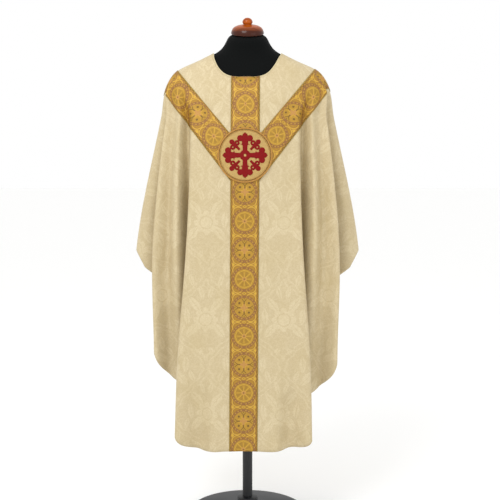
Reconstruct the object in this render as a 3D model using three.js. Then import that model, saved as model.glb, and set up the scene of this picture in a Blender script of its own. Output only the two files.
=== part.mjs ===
// A chasuble of cream damask with gold orphreys, worn by a limbless dress form on a stand.
// Millimetres, +Z up. The wearer's right to left runs along X, the front faces -Y, and the floor is at z = 0.
// The cloth is a ring of fold lines that run from the neckline to the hem: each table row is one fold line.
import * as THREE from "three";

// Driving sizes of the garment
const CLOTH_WALL = 2;
const SEAM_GAP = 0.3;
const NECK_HALF_WIDTH = 107;
const NECK_SIDE_Z = 1492;
const YOKE_Z = 1400;
const BAND_HALF = 44;
const BAND_THICKNESS = 1.2;

// Heights at which the fold tables give each fold line's place
const CHEST_Z = 1290;
const SLEEVE_Z = 880;
const SKIRT_Z = 560;
const HEM_Z = 262;

// The neckline at the front and at the back: lowest height, depth from the form's axis, squareness seen from
// above, and how late it rises to the side of the neck
const NECKLINE = {
  front: { lowZ: 1415, depth: 92, squareness: 3, rise: 4 },
  back: { lowZ: 1478, depth: 85, squareness: 2.4, rise: 2 },
};

// The cloth where it lies on the form's shoulders: half width and depths of each level section
const YOKE_SECTIONS = [
  { z: 1492, half: 107, front: 62, back: 76 },
  { z: 1470, half: 152, front: 71, back: 92 },
  { z: 1442, half: 213, front: 81, back: 109 },
  { z: 1411, half: 243, front: 96, back: 122 },
  { z: YOKE_Z, half: 249, front: 102, back: 126 },
];
const YOKE_SQUARENESS = 2.3;

// Height at which the crease over the shoulder starts. It has its full depth at YOKE_Z.
const CREASE_TOP_Z = 1445;

// Fold lines of one half of the front, from the centre to the shoulder seam. neck and yoke are distances from
// the centre plane, chest to hem are [distance from the centre plane, depth in front of the axis], end is the
// height at which the cloth's edge crosses the line, rise lifts that edge on the wearer's right, sway is the
// line's share of the front's drift to that side, and steps are the facets to the next line. Where the cloth
// folds over on the shoulder, crease is [how far out, how far forward] the line leaves the yoke's section, and
// climb is what it adds to the height of the diagonal orphrey's lower edge.
const FRONT_FOLDS = [
  { name: "centre", neck: 0, yoke: 0, chest: [0, 134], sleeve: [0, 152], skirt: [0, 158], hem: [0, 164],
    end: 262, rise: 0, sway: 1, steps: 2 },
  { name: "band_edge", neck: BAND_HALF, yoke: BAND_HALF, chest: [BAND_HALF, 133], sleeve: [BAND_HALF, 152],
    skirt: [BAND_HALF, 158], hem: [BAND_HALF, 165], end: 261, rise: 0, sway: 1, steps: 2 },
  { name: "panel", neck: 62, yoke: 96, chest: [98, 127], sleeve: [104, 150], skirt: [108, 157], hem: [96, 169],
    end: 260, rise: 0, sway: 1, steps: 2 },
  { name: "ripple", neck: 76, yoke: 132, chest: [134, 118], sleeve: [146, 147], skirt: [156, 152],
    hem: [142, 137], end: 262, rise: -2, sway: 1, steps: 3 },
  { name: "panel_edge", neck: 85, yoke: 158, chest: [161, 112], sleeve: [180, 140], skirt: [206, 138],
    hem: [216, 146], end: 288, rise: 12, sway: 1, steps: 4 },
  { name: "inner_pleat", neck: 91, yoke: 176, chest: [177, 80], sleeve: [150, 60], skirt: [92, 34],
    hem: [104, 54], end: 392, rise: 30, sway: 0.9, steps: 4 },
  { name: "small_ridge", neck: 95, yoke: 194, chest: [202, 94], sleeve: [213, 124], skirt: [200, 88],
    hem: [198, 86], end: 418, rise: 40, sway: 0.8, steps: 3 },
  { name: "trough", neck: 99, yoke: 212, chest: [224, 70], sleeve: [242, 88], skirt: [238, 72], hem: [232, 64],
    end: 444, rise: 38, sway: 0.7, steps: 3 },
  { name: "middle_ridge", neck: 102, yoke: 229, crease: [2, 8], chest: [248, 68], sleeve: [290, 106],
    skirt: [288, 98], hem: [288, 98], end: 520, rise: 36, sway: 0.5, steps: 4 },
  { name: "sleeve_pleat", neck: 104, yoke: 240, crease: [-12, 5], climb: 25, chest: [228, 32],
    sleeve: [188, 15], skirt: [206, 14], hem: [212, 14], end: 690, rise: 10, sway: 0.2, steps: 4 },
  { name: "sleeve_ridge", neck: 106, yoke: 246, crease: [-1, 4], climb: 5, chest: [264, 22],
    sleeve: [322, 34], skirt: [330, 34], hem: [330, 34], end: 822, rise: 0, sway: 0, steps: 3 },
  { name: "seam", neck: 107, yoke: 249, climb: -11, chest: [273, 0], sleeve: [355, 0], skirt: [372, 0],
    hem: [372, 0], end: 874, rise: 0, sway: 0, steps: 0 },
];

// The same for the back
const BACK_FOLDS = [
  { name: "centre", neck: 0, yoke: 0, chest: [0, 138], sleeve: [0, 147], skirt: [0, 151], hem: [0, 157],
    end: 252, rise: 0, sway: 0.3, steps: 2 },
  { name: "band_edge", neck: BAND_HALF, yoke: BAND_HALF, chest: [BAND_HALF, 137], sleeve: [BAND_HALF, 147],
    skirt: [BAND_HALF, 151], hem: [BAND_HALF, 158], end: 252, rise: 0, sway: 0.3, steps: 2 },
  { name: "panel", neck: 62, yoke: 96, chest: [98, 132], sleeve: [102, 143], skirt: [108, 145], hem: [102, 162],
    end: 253, rise: 0, sway: 0.3, steps: 2 },
  { name: "ripple", neck: 76, yoke: 134, chest: [140, 121], sleeve: [148, 130], skirt: [154, 126],
    hem: [150, 124], end: 257, rise: 0, sway: 0.3, steps: 3 },
  { name: "panel_edge", neck: 85, yoke: 162, chest: [168, 112], sleeve: [190, 136], skirt: [210, 134],
    hem: [218, 142], end: 284, rise: -12, sway: 0.3, steps: 4 },
  { name: "inner_pleat", neck: 91, yoke: 183, chest: [186, 82], sleeve: [158, 62], skirt: [104, 38],
    hem: [112, 56], end: 388, rise: -20, sway: 0.2, steps: 4 },
  { name: "small_ridge", neck: 95, yoke: 202, chest: [212, 90], sleeve: [222, 118], skirt: [208, 84],
    hem: [206, 82], end: 424, rise: -20, sway: 0.2, steps: 3 },
  { name: "trough", neck: 99, yoke: 219, chest: [230, 66], sleeve: [248, 80], skirt: [246, 66], hem: [242, 60],
    end: 462, rise: -16, sway: 0.1, steps: 3 },
  { name: "middle_ridge", neck: 102, yoke: 234, chest: [257, 60], sleeve: [294, 96], skirt: [296, 92],
    hem: [296, 92], end: 540, rise: -12, sway: 0.1, steps: 4 },
  { name: "sleeve_pleat", neck: 104, yoke: 242, chest: [240, 28], sleeve: [194, 15], skirt: [210, 14],
    hem: [216, 14], end: 696, rise: 0, sway: 0, steps: 4 },
  { name: "sleeve_ridge", neck: 106, yoke: 247, chest: [265, 20], sleeve: [326, 30], skirt: [334, 30],
    hem: [334, 30], end: 826, rise: 0, sway: 0, steps: 3 },
  FRONT_FOLDS.at(-1),
];
const FOLDS = { front: FRONT_FOLDS, back: BACK_FOLDS };
const SEAM = FRONT_FOLDS.length - 1;
const BAND_FOLD = FRONT_FOLDS.findIndex((row) => row.name === "band_edge");

// Roundness of a hairpin fold, where 1 is the roundness of an open curve
const FOLD_ROUNDNESS = 0.65;

// How far the front hangs to the wearer's right at the neckline and at the hem
const SWAY_AT_NECK = -6;
const SWAY_AT_HEM = -13;

// The diagonal orphreys' edges seen from the front: height on the centre plane and climb per mm to the side
const DIAGONAL = {
  upper: { z: 1190, climb: 1.175 },
  lower: { z: 1045, climb: 1.277 },
};

// Facets along a fold line: neckline to diagonal, across the diagonal, diagonal to hem
const ROWS = { yoke: 4, diagonal: 3, fall: 9 };

// The round emblem where the orphreys meet
const MEDALLION = { z: 1178, radius: 82, lift: 2.1, thickness: 1.6, sides: 32 };
const MEDALLION_CORD = { radius: 80.5, half: 1.8, sides: 40 };
const CROSS = { reach: 62, waist: 13, thickness: 0.9, sides: 48 };

// The dress form: level sections of body and neck, with the slope of the neck's top
const FORM_SECTIONS = [
  { z: 815, half: 142, front: 86, back: 94 },
  { z: 835, half: 152, front: 94, back: 102 },
  { z: 890, half: 156, front: 96, back: 104 },
  { z: 960, half: 150, front: 92, back: 96 },
  { z: 1060, half: 144, front: 90, back: 88 },
  { z: 1160, half: 156, front: 102, back: 100 },
  { z: 1240, half: 174, front: 112, back: 114 },
  { z: CHEST_Z, half: 194, front: 116, back: 122 },
  { z: 1345, half: 222, front: 106, back: 120 },
  { z: YOKE_Z, half: 242, front: 92, back: 117 },
  { z: 1411, half: 236, front: 87, back: 113 },
  { z: 1442, half: 206, front: 73, back: 101 },
  { z: 1470, half: 146, front: 62, back: 84 },
  { z: 1492, half: 98, front: 58, back: 68 },
  { z: 1508, half: 78, front: 58, back: 64 },
  { z: 1530, half: 66, front: 60, back: 58 },
  { z: 1551, half: 57, front: 58, back: 52 },
];
const FORM_SIDES = 36;
const FORM_SQUARENESS = 2.15;
const NECK_TILT = THREE.MathUtils.degToRad(14);
const CAP_PROFILE = [
  [0, 0], [50, 0], [51.5, 4], [50, 12], [43, 21], [30, 27], [17, 29.5], [13, 31], [15, 36], [15, 41], [11, 47],
  [5, 50.5], [0, 51],
];
const POLE_RADIUS = 16;
const BASE_PROFILE = [
  [0, 0], [190, 0], [190, 9], [186, 13], [60, 20], [34, 26], [34, 60], [0, 60],
];

const smooth = (t) => t * t * (3 - 2 * t);
const lerp = THREE.MathUtils.lerp;

// Slope at knot i of a smooth curve through values over rising or falling knots
function slopeAt(knots, values, i) {
  const last = knots.length - 1;
  const rate = (k) => (values[k + 1] - values[k]) / (knots[k + 1] - knots[k]);
  if (i === 0) return rate(0);
  if (i === last) return rate(last - 1);
  const before = Math.abs(knots[i] - knots[i - 1]);
  const after = Math.abs(knots[i + 1] - knots[i]);
  return (rate(i - 1) * after + rate(i) * before) / (before + after);
}

// The value at x of a smooth curve through values over rising or falling knots
function curveAt(knots, values, x) {
  const rising = knots[1] > knots[0];
  let i = 0;
  while (i < knots.length - 2 && (rising ? x > knots[i + 1] : x < knots[i + 1])) i++;
  const span = knots[i + 1] - knots[i];
  const t = THREE.MathUtils.clamp((x - knots[i]) / span, 0, 1);
  const [m0, m1] = [slopeAt(knots, values, i) * span, slopeAt(knots, values, i + 1) * span];
  const a = 2 * t ** 3 - 3 * t ** 2 + 1;
  return a * values[i] + (1 - a) * values[i + 1] + (t ** 3 - 2 * t ** 2 + t) * m0 + (t ** 3 - t ** 2) * m1;
}

// A column of a section table at height z
function sectionAt(sections, z, key) {
  return curveAt(sections.map((s) => s.z), sections.map((s) => s[key]), z);
}

// The table row of fold line k of a quarter of the cloth, counted on past the centre and past the seam
function foldRow(face, side, k) {
  if (k < 0) return foldRow(face, -side, -k);
  if (k > SEAM) return foldRow(face === "front" ? "back" : "front", side, 2 * SEAM - k);
  return { ...FOLDS[face][k], face, side };
}

function swayAt(z, share) {
  return share * lerp(SWAY_AT_NECK, SWAY_AT_HEM, (NECKLINE.front.lowZ - z) / (NECKLINE.front.lowZ - HEM_Z));
}

// Place of a fold line at one of the table's heights
function tablePoint(row, level, z) {
  const [out, depth] = row[level];
  return new THREE.Vector2(row.side * out + swayAt(z, row.sway), row.face === "front" ? -depth : depth);
}

// Point a share t of the way from b to c, the middle two of four, on a smooth line that rounds sharp folds
function blendPoints([a, b, c, d], t) {
  const direction = (p, q) => q.clone().sub(p).normalize();
  const tangent = (p, q, r) => {
    const along = direction(p, q).add(direction(q, r));
    const length = lerp(FOLD_ROUNDNESS * (p.distanceTo(q) + q.distanceTo(r)) / 2, b.distanceTo(c),
      (along.length() / 2) ** 4);
    return along.normalize().multiplyScalar(length);
  };
  const share = 2 * t ** 3 - 3 * t ** 2 + 1;
  return b.clone().multiplyScalar(share).addScaledVector(c, 1 - share)
    .addScaledVector(tangent(a, b, c), t ** 3 - 2 * t ** 2 + t)
    .addScaledVector(tangent(b, c, d), t ** 3 - t ** 2);
}

// Smooth blend of the middle two of four evenly placed values
function blendValues([a, b, c, d], t) {
  return b + 0.5 * t * (c - a + t * (2 * a - 5 * b + 4 * c - d + t * (3 * (b - c) + d - a)));
}

// Angle round a section whose sine and cosine, raised to 2 / squareness, give the point at distance x
const sectionAngle = (x, half, squareness) => Math.asin(Math.min(1, x / half) ** (squareness / 2));

function sectionPoint(half, depth, squareness, angle) {
  const power = 2 / squareness;
  return [half * Math.sin(angle) ** power, depth * Math.max(0, Math.cos(angle)) ** power];
}

// One vertical line of the cloth's grid, place fold lines out from the centre: x and y as smooth functions of z
function clothLine({ face, side, place }) {
  const k = Math.min(Math.floor(place), SEAM - 1);
  const t = place - k;
  const rows = [-1, 0, 1, 2].map((n) => foldRow(face, side, k + n));
  const [, here, next] = rows;
  const sign = face === "front" ? -1 : 1;
  const { lowZ, depth: neckDepth, squareness, rise } = NECKLINE[face];
  const blendAngle = (key, half, power) => lerp(
    sectionAngle(here[key], half, power), sectionAngle(next[key], half, power), t);
  const neckAngle = blendAngle("neck", NECK_HALF_WIDTH, squareness);
  const [neckX, neckY] = sectionPoint(NECK_HALF_WIDTH, neckDepth, squareness, neckAngle);
  const topZ = lerp(lowZ, NECK_SIDE_Z, (neckX / NECK_HALF_WIDTH) ** rise);
  const sway = lerp(here.sway, next.sway, t);
  const crease = [0, 1].map((n) => lerp(here.crease?.[n] ?? 0, next.crease?.[n] ?? 0, smooth(t)));
  const straight = 1 - smooth(THREE.MathUtils.clamp((place - BAND_FOLD) / 2, 0, 1));
  const knots = [{ z: topZ, x: side * neckX + swayAt(topZ, sway), y: sign * neckY }];
  const topAngle = sectionAngle(neckX, sectionAt(YOKE_SECTIONS, topZ, "half"), YOKE_SQUARENESS);
  const yokeAngle = blendAngle("yoke", sectionAt(YOKE_SECTIONS, YOKE_Z, "half"), YOKE_SQUARENESS);
  for (const { z, half, [face]: depth } of YOKE_SECTIONS) {
    if (z > topZ - 8) continue;
    const share = (topZ - z) / (topZ - YOKE_Z);
    const turnedAngle = lerp(topAngle, yokeAngle, share);
    const straightAngle = sectionAngle(lerp(neckX, lerp(here.yoke, next.yoke, t), share), half, YOKE_SQUARENESS);
    const angle = lerp(turnedAngle, straightAngle, straight);
    const [x, y] = sectionPoint(half, depth, YOKE_SQUARENESS, angle);
    const folded = smooth(THREE.MathUtils.clamp((CREASE_TOP_Z - z) / (CREASE_TOP_Z - YOKE_Z), 0, 1));
    knots.push({
      z,
      x: side * (x + folded * crease[0]) + swayAt(z, sway),
      y: sign * (y + folded * crease[1]),
    });
  }
  for (const [level, z] of [["chest", CHEST_Z], ["sleeve", SLEEVE_Z], ["skirt", SKIRT_Z], ["hem", HEM_Z]]) {
    const { x, y } = blendPoints(rows.map((row) => tablePoint(row, level, z)), t);
    knots.push({ z, x, y });
  }
  const [zs, xs, ys] = ["z", "x", "y"].map((key) => knots.map((knot) => knot[key]));
  return {
    topZ,
    climb: lerp(here.climb ?? 0, next.climb ?? 0, t),
    endZ: blendValues(rows.map((row) => row.end + (row.side < 0 ? row.rise : 0)), t),
    at: (z) => new THREE.Vector3(curveAt(zs, xs, z), curveAt(zs, ys, z), z),
  };
}

// Height at which a line of the cloth crosses a diagonal edge, raised there by climb
function crossing(line, edge, climb = 0) {
  let [low, high] = [edge.z - 40, line.topZ];
  for (let k = 0; k < 40; k++) {
    const mid = (low + high) / 2;
    const p = line.at(mid);
    if (mid > edge.z + climb + edge.climb * Math.abs(p.x - swayAt(mid, 1))) high = mid;
    else low = mid;
  }
  return (low + high) / 2;
}

// count + 1 points on a line from zTop to zBottom, evenly spaced along its length
function evenPoints(line, zTop, zBottom, count) {
  const fine = 24;
  const points = Array.from({ length: fine + 1 }, (_, k) => line.at(lerp(zTop, zBottom, k / fine)));
  const along = [0];
  for (let k = 0; k < fine; k++) along.push(along[k] + points[k].distanceTo(points[k + 1]));
  const zs = points.map((p) => p.z);
  return Array.from({ length: count + 1 }, (_, k) => {
    const target = (along[fine] * k) / count;
    let j = 0;
    while (j < fine - 1 && along[j + 1] < target) j++;
    return line.at(lerp(zs[j], zs[j + 1], (target - along[j]) / (along[j + 1] - along[j])));
  });
}

// Places of the grid's lines in one quarter of the cloth, from the centre up to the seam
function quarterPlaces(face, side) {
  return FOLDS[face].flatMap(({ steps }, k) => Array.from(
    { length: steps }, (_, j) => ({ face, side, place: k + j / steps })));
}

// The cloth's grid: lines all round, and rows from the neckline to the hem
function clothGrid() {
  const seam = (side) => ({ face: "front", side, place: SEAM });
  const places = [
    ...quarterPlaces("front", 1), seam(1), ...quarterPlaces("back", 1).reverse(),
    ...quarterPlaces("back", -1).slice(1), seam(-1), ...quarterPlaces("front", -1).slice(1).reverse(),
  ];
  return places.map((place) => {
    const line = clothLine(place);
    const upperZ = crossing(line, DIAGONAL.upper);
    const lowerZ = crossing(line, DIAGONAL.lower, line.climb);
    const points = [
      ...evenPoints(line, line.topZ, upperZ, ROWS.yoke),
      ...evenPoints(line, upperZ, lowerZ, ROWS.diagonal).slice(1),
      ...evenPoints(line, lowerZ, line.endZ, ROWS.fall).slice(1),
    ];
    return { ...place, points };
  });
}

const GRID = clothGrid();
const ROW_COUNT = GRID[0].points.length;
const column = (c) => GRID[(c + GRID.length) % GRID.length];

// Outward normal of the cloth at a grid point
function clothNormal(c, r) {
  const across = column(c + 1).points[r].clone().sub(column(c - 1).points[r]);
  const { points } = column(c);
  const down = points[Math.min(r + 1, ROW_COUNT - 1)].clone().sub(points[Math.max(r - 1, 0)]);
  return down.cross(across).normalize();
}

// Index of the column of a named fold line
function columnOf(name, face, side) {
  const k = FOLDS[face].findIndex((row) => row.name === name);
  return GRID.findIndex((line) => line.place === k && line.side === side && (line.face === face || k === SEAM));
}

// A closed wall between two grids of points that run the same way
function wallBetween(outer, inner) {
  const [nc, nr] = [outer.length, outer[0].length];
  const position = [...outer, ...inner].flat().flatMap((p) => [p.x, p.y, p.z]);
  const out = (c, r) => c * nr + r;
  const inn = (c, r) => (nc + c) * nr + r;
  const index = [];
  const quad = (a, b, c, d) => index.push(a, b, c, a, c, d);
  for (let c = 0; c < nc - 1; c++) {
    for (let r = 0; r < nr - 1; r++) {
      quad(out(c, r), out(c, r + 1), out(c + 1, r + 1), out(c + 1, r));
      quad(inn(c, r), inn(c + 1, r), inn(c + 1, r + 1), inn(c, r + 1));
    }
    quad(out(c, 0), out(c + 1, 0), inn(c + 1, 0), inn(c, 0));
    quad(out(c + 1, nr - 1), out(c, nr - 1), inn(c, nr - 1), inn(c + 1, nr - 1));
  }
  for (let r = 0; r < nr - 1; r++) {
    quad(out(0, r + 1), out(0, r), inn(0, r), inn(0, r + 1));
    quad(out(nc - 1, r), out(nc - 1, r + 1), inn(nc - 1, r + 1), inn(nc - 1, r));
  }
  return meshGeometry(position, index);
}

function meshGeometry(position, index) {
  const geometry = new THREE.BufferGeometry();
  geometry.setAttribute("position", new THREE.Float32BufferAttribute(position, 3));
  geometry.setIndex(index);
  geometry.computeVertexNormals();
  return geometry;
}

// A piece of the cloth's grid between two columns and two rows, from lift0 to lift1 above its outer face.
// Each end column is drawn in by its trim, so that neighbours keep their gap.
function clothPiece({ from, to, rowFrom = 0, rowTo = ROW_COUNT - 1, lift0, lift1, trimFrom = 0, trimTo = 0 }) {
  const count = (to - from + GRID.length) % GRID.length;
  const grid = (lift) => Array.from({ length: count + 1 }, (_, k) => {
    const c = from + k;
    const shift = k === 0 ? trimFrom : k === count ? trimTo : 0;
    const inwards = k === 0 ? 1 : -1;
    return Array.from({ length: rowTo - rowFrom + 1 }, (_, j) => {
      const r = rowFrom + j;
      const here = column(c).points[r];
      const p = here.clone().addScaledVector(clothNormal(c, r), lift);
      const towards = column(c + inwards).points[r].clone().sub(here).normalize();
      return p.addScaledVector(towards, shift);
    });
  });
  return wallBetween(grid(lift1), grid(lift0));
}

const FRONT_LINES = [-3, -2, -1, 0, 1, 2, 3].map(
  (k) => clothLine({ face: "front", side: Math.sign(k) || 1, place: Math.abs(k) }));

// Front of the cloth at distance x from the centre plane and height z
function frontDepth(x, z) {
  const points = FRONT_LINES.map((line) => line.at(z));
  return curveAt(points.map((p) => p.x), points.map((p) => p.y), x);
}

// Point and outward normal of the cloth's front near the medallion
function frontFrame(x, z) {
  const e = 4;
  const point = new THREE.Vector3(x, frontDepth(x, z), z);
  const alongX = new THREE.Vector3(2 * e, frontDepth(x + e, z) - frontDepth(x - e, z), 0);
  const alongZ = new THREE.Vector3(0, frontDepth(x, z + e) - frontDepth(x, z - e), 2 * e);
  return { point, normal: alongX.cross(alongZ).normalize() };
}

// A solid turned round the medallion's centre and bent to the cloth. The profile lists [radius, lift], and
// outline scales the radius at each angle. An open profile starts and ends on the centre, and a closed one is
// a ring.
function turnedOnFront(profile, sides, closed, outline = () => 1) {
  const centreX = swayAt(MEDALLION.z, 1);
  const place = (radius, lift, angle) => {
    const r = radius * outline(angle);
    const { point, normal } = frontFrame(centreX + r * Math.cos(angle), MEDALLION.z + r * Math.sin(angle));
    return point.addScaledVector(normal, lift);
  };
  const position = [];
  const push = (p) => position.push(p.x, p.y, p.z) / 3 - 1;
  const rings = profile.map(([radius, lift]) => (radius === 0
    ? Array(sides).fill(push(place(0, lift, 0)))
    : Array.from({ length: sides }, (_, k) => push(place(radius, lift, (2 * Math.PI * k) / sides)))));
  const index = [];
  const spans = closed ? rings.length : rings.length - 1;
  for (let s = 0; s < spans; s++) {
    const [a, b] = [rings[s], rings[(s + 1) % rings.length]];
    for (let k = 0; k < sides; k++) {
      const n = (k + 1) % sides;
      if (a[k] !== a[n]) index.push(a[k], a[n], b[k]);
      if (b[k] !== b[n]) index.push(a[n], b[n], b[k]);
    }
  }
  return meshGeometry(position, index);
}

// Ring of a level section of the form, with the neck's top tilted forward
function formRing({ z, half, front, back }) {
  const neckTop = FORM_SECTIONS.at(-1).z;
  const share = THREE.MathUtils.clamp((z - NECK_SIDE_Z) / (neckTop - NECK_SIDE_Z), 0, 1);
  const slope = Math.tan(NECK_TILT) * share;
  return Array.from({ length: FORM_SIDES }, (_, k) => {
    const angle = (2 * Math.PI * k) / FORM_SIDES;
    const [c, s] = [Math.cos(angle), Math.sin(angle)];
    const power = 2 / FORM_SQUARENESS;
    const x = half * Math.sign(c) * Math.abs(c) ** power;
    const y = (s < 0 ? front : back) * Math.sign(s) * Math.abs(s) ** power;
    return new THREE.Vector3(x, y, z + slope * y);
  });
}

function formBody() {
  const rings = FORM_SECTIONS.map(formRing);
  const position = rings.flat().flatMap((p) => [p.x, p.y, p.z]);
  const bottom = position.push(0, 0, FORM_SECTIONS[0].z) / 3 - 1;
  const top = position.push(0, 0, FORM_SECTIONS.at(-1).z) / 3 - 1;
  const index = [];
  const last = (rings.length - 1) * FORM_SIDES;
  for (let k = 0; k < FORM_SIDES; k++) {
    const n = (k + 1) % FORM_SIDES;
    for (let s = 0; s < rings.length - 1; s++) {
      const [a, b] = [s * FORM_SIDES, (s + 1) * FORM_SIDES];
      index.push(a + k, a + n, b + n, a + k, b + n, b + k);
    }
    index.push(bottom, n, k, top, last + k, last + n);
  }
  return meshGeometry(position, index);
}

// A profile of [radius, height] turned about the vertical axis
function turned(profile, sides) {
  const points = profile.map(([radius, height]) => new THREE.Vector2(radius, height));
  return new THREE.LatheGeometry(points, sides).rotateX(Math.PI / 2);
}

const MATERIALS = {
  damask: new THREE.MeshStandardMaterial({ color: 0xe4d6b0, roughness: 0.6, metalness: 0 }),
  orphrey: new THREE.MeshStandardMaterial({ color: 0xb98a28, roughness: 0.45, metalness: 0.35 }),
  medallion: new THREE.MeshStandardMaterial({ color: 0xd9bd7c, roughness: 0.6, metalness: 0.2 }),
  cord: new THREE.MeshStandardMaterial({ color: 0xb07a24, roughness: 0.45, metalness: 0.3 }),
  cross: new THREE.MeshStandardMaterial({ color: 0xa81418, roughness: 0.55, metalness: 0 }),
  jersey: new THREE.MeshStandardMaterial({ color: 0x16191a, roughness: 0.85, metalness: 0 }),
  wood: new THREE.MeshStandardMaterial({ color: 0xa04d12, roughness: 0.3, metalness: 0 }),
  steel: new THREE.MeshStandardMaterial({ color: 0x1a1a1c, roughness: 0.45, metalness: 0.6 }),
};

const group = new THREE.Group();

function add(name, geometry, material) {
  const mesh = new THREE.Mesh(geometry, MATERIALS[material]);
  mesh.name = name;
  group.add(mesh);
  return mesh;
}

// Front and back of the chasuble, sewn along the shoulders from the neck to the tip of each sleeve
function addPanels() {
  const leftSeam = columnOf("seam", "front", 1);
  const rightSeam = columnOf("seam", "front", -1);
  const wall = { lift0: -CLOTH_WALL, lift1: 0, trimFrom: SEAM_GAP / 2, trimTo: SEAM_GAP / 2 };
  add("front_panel", clothPiece({ from: rightSeam, to: leftSeam, ...wall }), "damask");
  add("back_panel", clothPiece({ from: leftSeam, to: rightSeam, ...wall }), "damask");
}

// The straight orphreys down the centre, and the diagonal ones from them over the shoulders
function addOrphreys() {
  const lift = { lift0: SEAM_GAP, lift1: SEAM_GAP + BAND_THICKNESS };
  const rows = { rowFrom: ROWS.yoke, rowTo: ROWS.yoke + ROWS.diagonal };
  for (const face of ["front", "back"]) {
    const leftEdge = columnOf("band_edge", face, 1);
    const rightEdge = columnOf("band_edge", face, -1);
    const leftSeam = columnOf("seam", face, 1);
    const rightSeam = columnOf("seam", face, -1);
    const [first, last] = face === "front" ? [rightEdge, leftEdge] : [leftEdge, rightEdge];
    add(`orphrey_${face}_centre`, clothPiece({ from: first, to: last, ...lift }), "orphrey");
    const ends = { edge: SEAM_GAP, seam: SEAM_GAP / 2 };
    for (const [side, edge, seam] of [["left", leftEdge, leftSeam], ["right", rightEdge, rightSeam]]) {
      const edgeFirst = (face === "front") === (side === "left");
      const span = edgeFirst
        ? { from: edge, to: seam, trimFrom: ends.edge, trimTo: ends.seam }
        : { from: seam, to: edge, trimFrom: ends.seam, trimTo: ends.edge };
      add(`orphrey_${face}_${side}`, clothPiece({ ...span, ...rows, ...lift }), "orphrey");
    }
  }
}

// Outline of a cross with flared arms, as a share of its reach
function crossOutline(angle) {
  const quarter = Math.abs((((angle / (Math.PI / 2)) % 1) + 1) % 1 - 0.5) * 2;
  return lerp(CROSS.waist / CROSS.reach, 1, smooth(THREE.MathUtils.clamp((quarter - 0.45) / 0.3, 0, 1)));
}

// The emblem: a disc, the cord sewn round its edge, and a cross worked on it
function addMedallion() {
  const { lift, thickness, radius, sides } = MEDALLION;
  const disc = radius - 4;
  const top = lift + thickness;
  const profile = [[0, lift], [disc / 2, lift], [disc, lift], [disc, top], [disc / 2, top], [0, top]];
  add("medallion", turnedOnFront(profile, sides, false), "medallion");
  const { radius: ring, half } = MEDALLION_CORD;
  const middle = lift + half;
  add("medallion_cord", turnedOnFront(
    [[ring - half, middle - 1], [ring, middle - half], [ring + half, middle - 1], [ring + half, middle + 1],
      [ring, middle + half], [ring - half, middle + 1]], MEDALLION_CORD.sides, true), "cord");
  const low = top + 2 * SEAM_GAP;
  const high = low + CROSS.thickness;
  const { reach } = CROSS;
  add("medallion_cross", turnedOnFront(
    [[0, low], [reach / 2, low], [reach, low], [reach, high], [reach / 2, high], [0, high]],
    CROSS.sides, false, crossOutline), "cross");
}

// The dress form: covered body, turned neck cap, pole and base
function addDressForm() {
  add("form_body", formBody(), "jersey");
  const cap = add("form_neck_cap", turned(CAP_PROFILE, 28), "wood");
  cap.rotation.x = NECK_TILT;
  cap.position.set(0, 0, FORM_SECTIONS.at(-1).z + SEAM_GAP);
  const base = BASE_PROFILE.at(-1)[1];
  const length = FORM_SECTIONS[0].z - base - 2 * SEAM_GAP;
  add("form_pole", turned([[0, 0], [POLE_RADIUS, 0], [POLE_RADIUS, length], [0, length]], 20), "steel")
    .position.z = base + SEAM_GAP;
  add("form_base", turned(BASE_PROFILE, 48), "steel");
}

addPanels();
addOrphreys();
addMedallion();
addDressForm();

export default group;
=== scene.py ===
"""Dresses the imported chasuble: damask panels hanging in their folds, woven gold orphreys, an embroidered
emblem, the sewing, and the dress form that wears it.

The pattern's sizes are in millimetres, as a maker cuts it. Meshes are in metres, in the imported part's frame:
+Z up, the front faces -Y, and +X is the wearer's left.
"""
import logging
import math
from dataclasses import dataclass, field
from enum import Enum
from typing import Callable, Iterable, Sequence, Union

import bpy
import numpy as np
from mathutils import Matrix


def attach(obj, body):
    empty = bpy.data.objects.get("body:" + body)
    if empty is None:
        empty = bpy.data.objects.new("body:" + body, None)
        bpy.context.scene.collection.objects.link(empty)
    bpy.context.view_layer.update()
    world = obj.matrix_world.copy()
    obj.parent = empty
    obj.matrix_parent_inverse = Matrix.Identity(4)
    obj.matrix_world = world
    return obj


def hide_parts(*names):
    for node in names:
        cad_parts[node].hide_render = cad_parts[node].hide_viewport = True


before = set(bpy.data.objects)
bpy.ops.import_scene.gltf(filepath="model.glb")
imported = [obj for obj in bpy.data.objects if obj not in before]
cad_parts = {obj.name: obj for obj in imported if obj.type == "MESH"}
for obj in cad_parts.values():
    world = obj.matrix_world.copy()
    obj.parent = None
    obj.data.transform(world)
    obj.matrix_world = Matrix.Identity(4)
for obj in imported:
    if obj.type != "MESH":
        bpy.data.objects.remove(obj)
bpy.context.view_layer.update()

MM = 0.001
TURN = 2 * math.pi
MERGE_DISTANCE = 1e-5
SHARP_ANGLE = math.radians(40)
PATTERN_MAP = "pattern"
BODY = "root"
Number = Union[float, np.ndarray]
Operand = Union["Value", float]
Amount = Union[Number, "Value"]
log = logging.getLogger("chasuble")


def mix(a: Amount, b: Amount, share: Amount) -> Amount:
    """The value a share of the way from a to b."""
    return a + (b - a) * share


def smooth(t: Number) -> Number:
    """A smooth step of t, held between 0 and 1."""
    t = np.clip(t, 0, 1)
    return t * t * (3 - 2 * t)


def hermite(t: Number, start: Number, end: Number, leaving: Number, arriving: Number) -> Number:
    """A smooth line at a share t of the way, from its ends and its directions there."""
    share = 2 * t ** 3 - 3 * t ** 2 + 1
    return (share * start + (1 - share) * end
            + (t ** 3 - 2 * t ** 2 + t) * leaving + (t ** 3 - t ** 2) * arriving)


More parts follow.
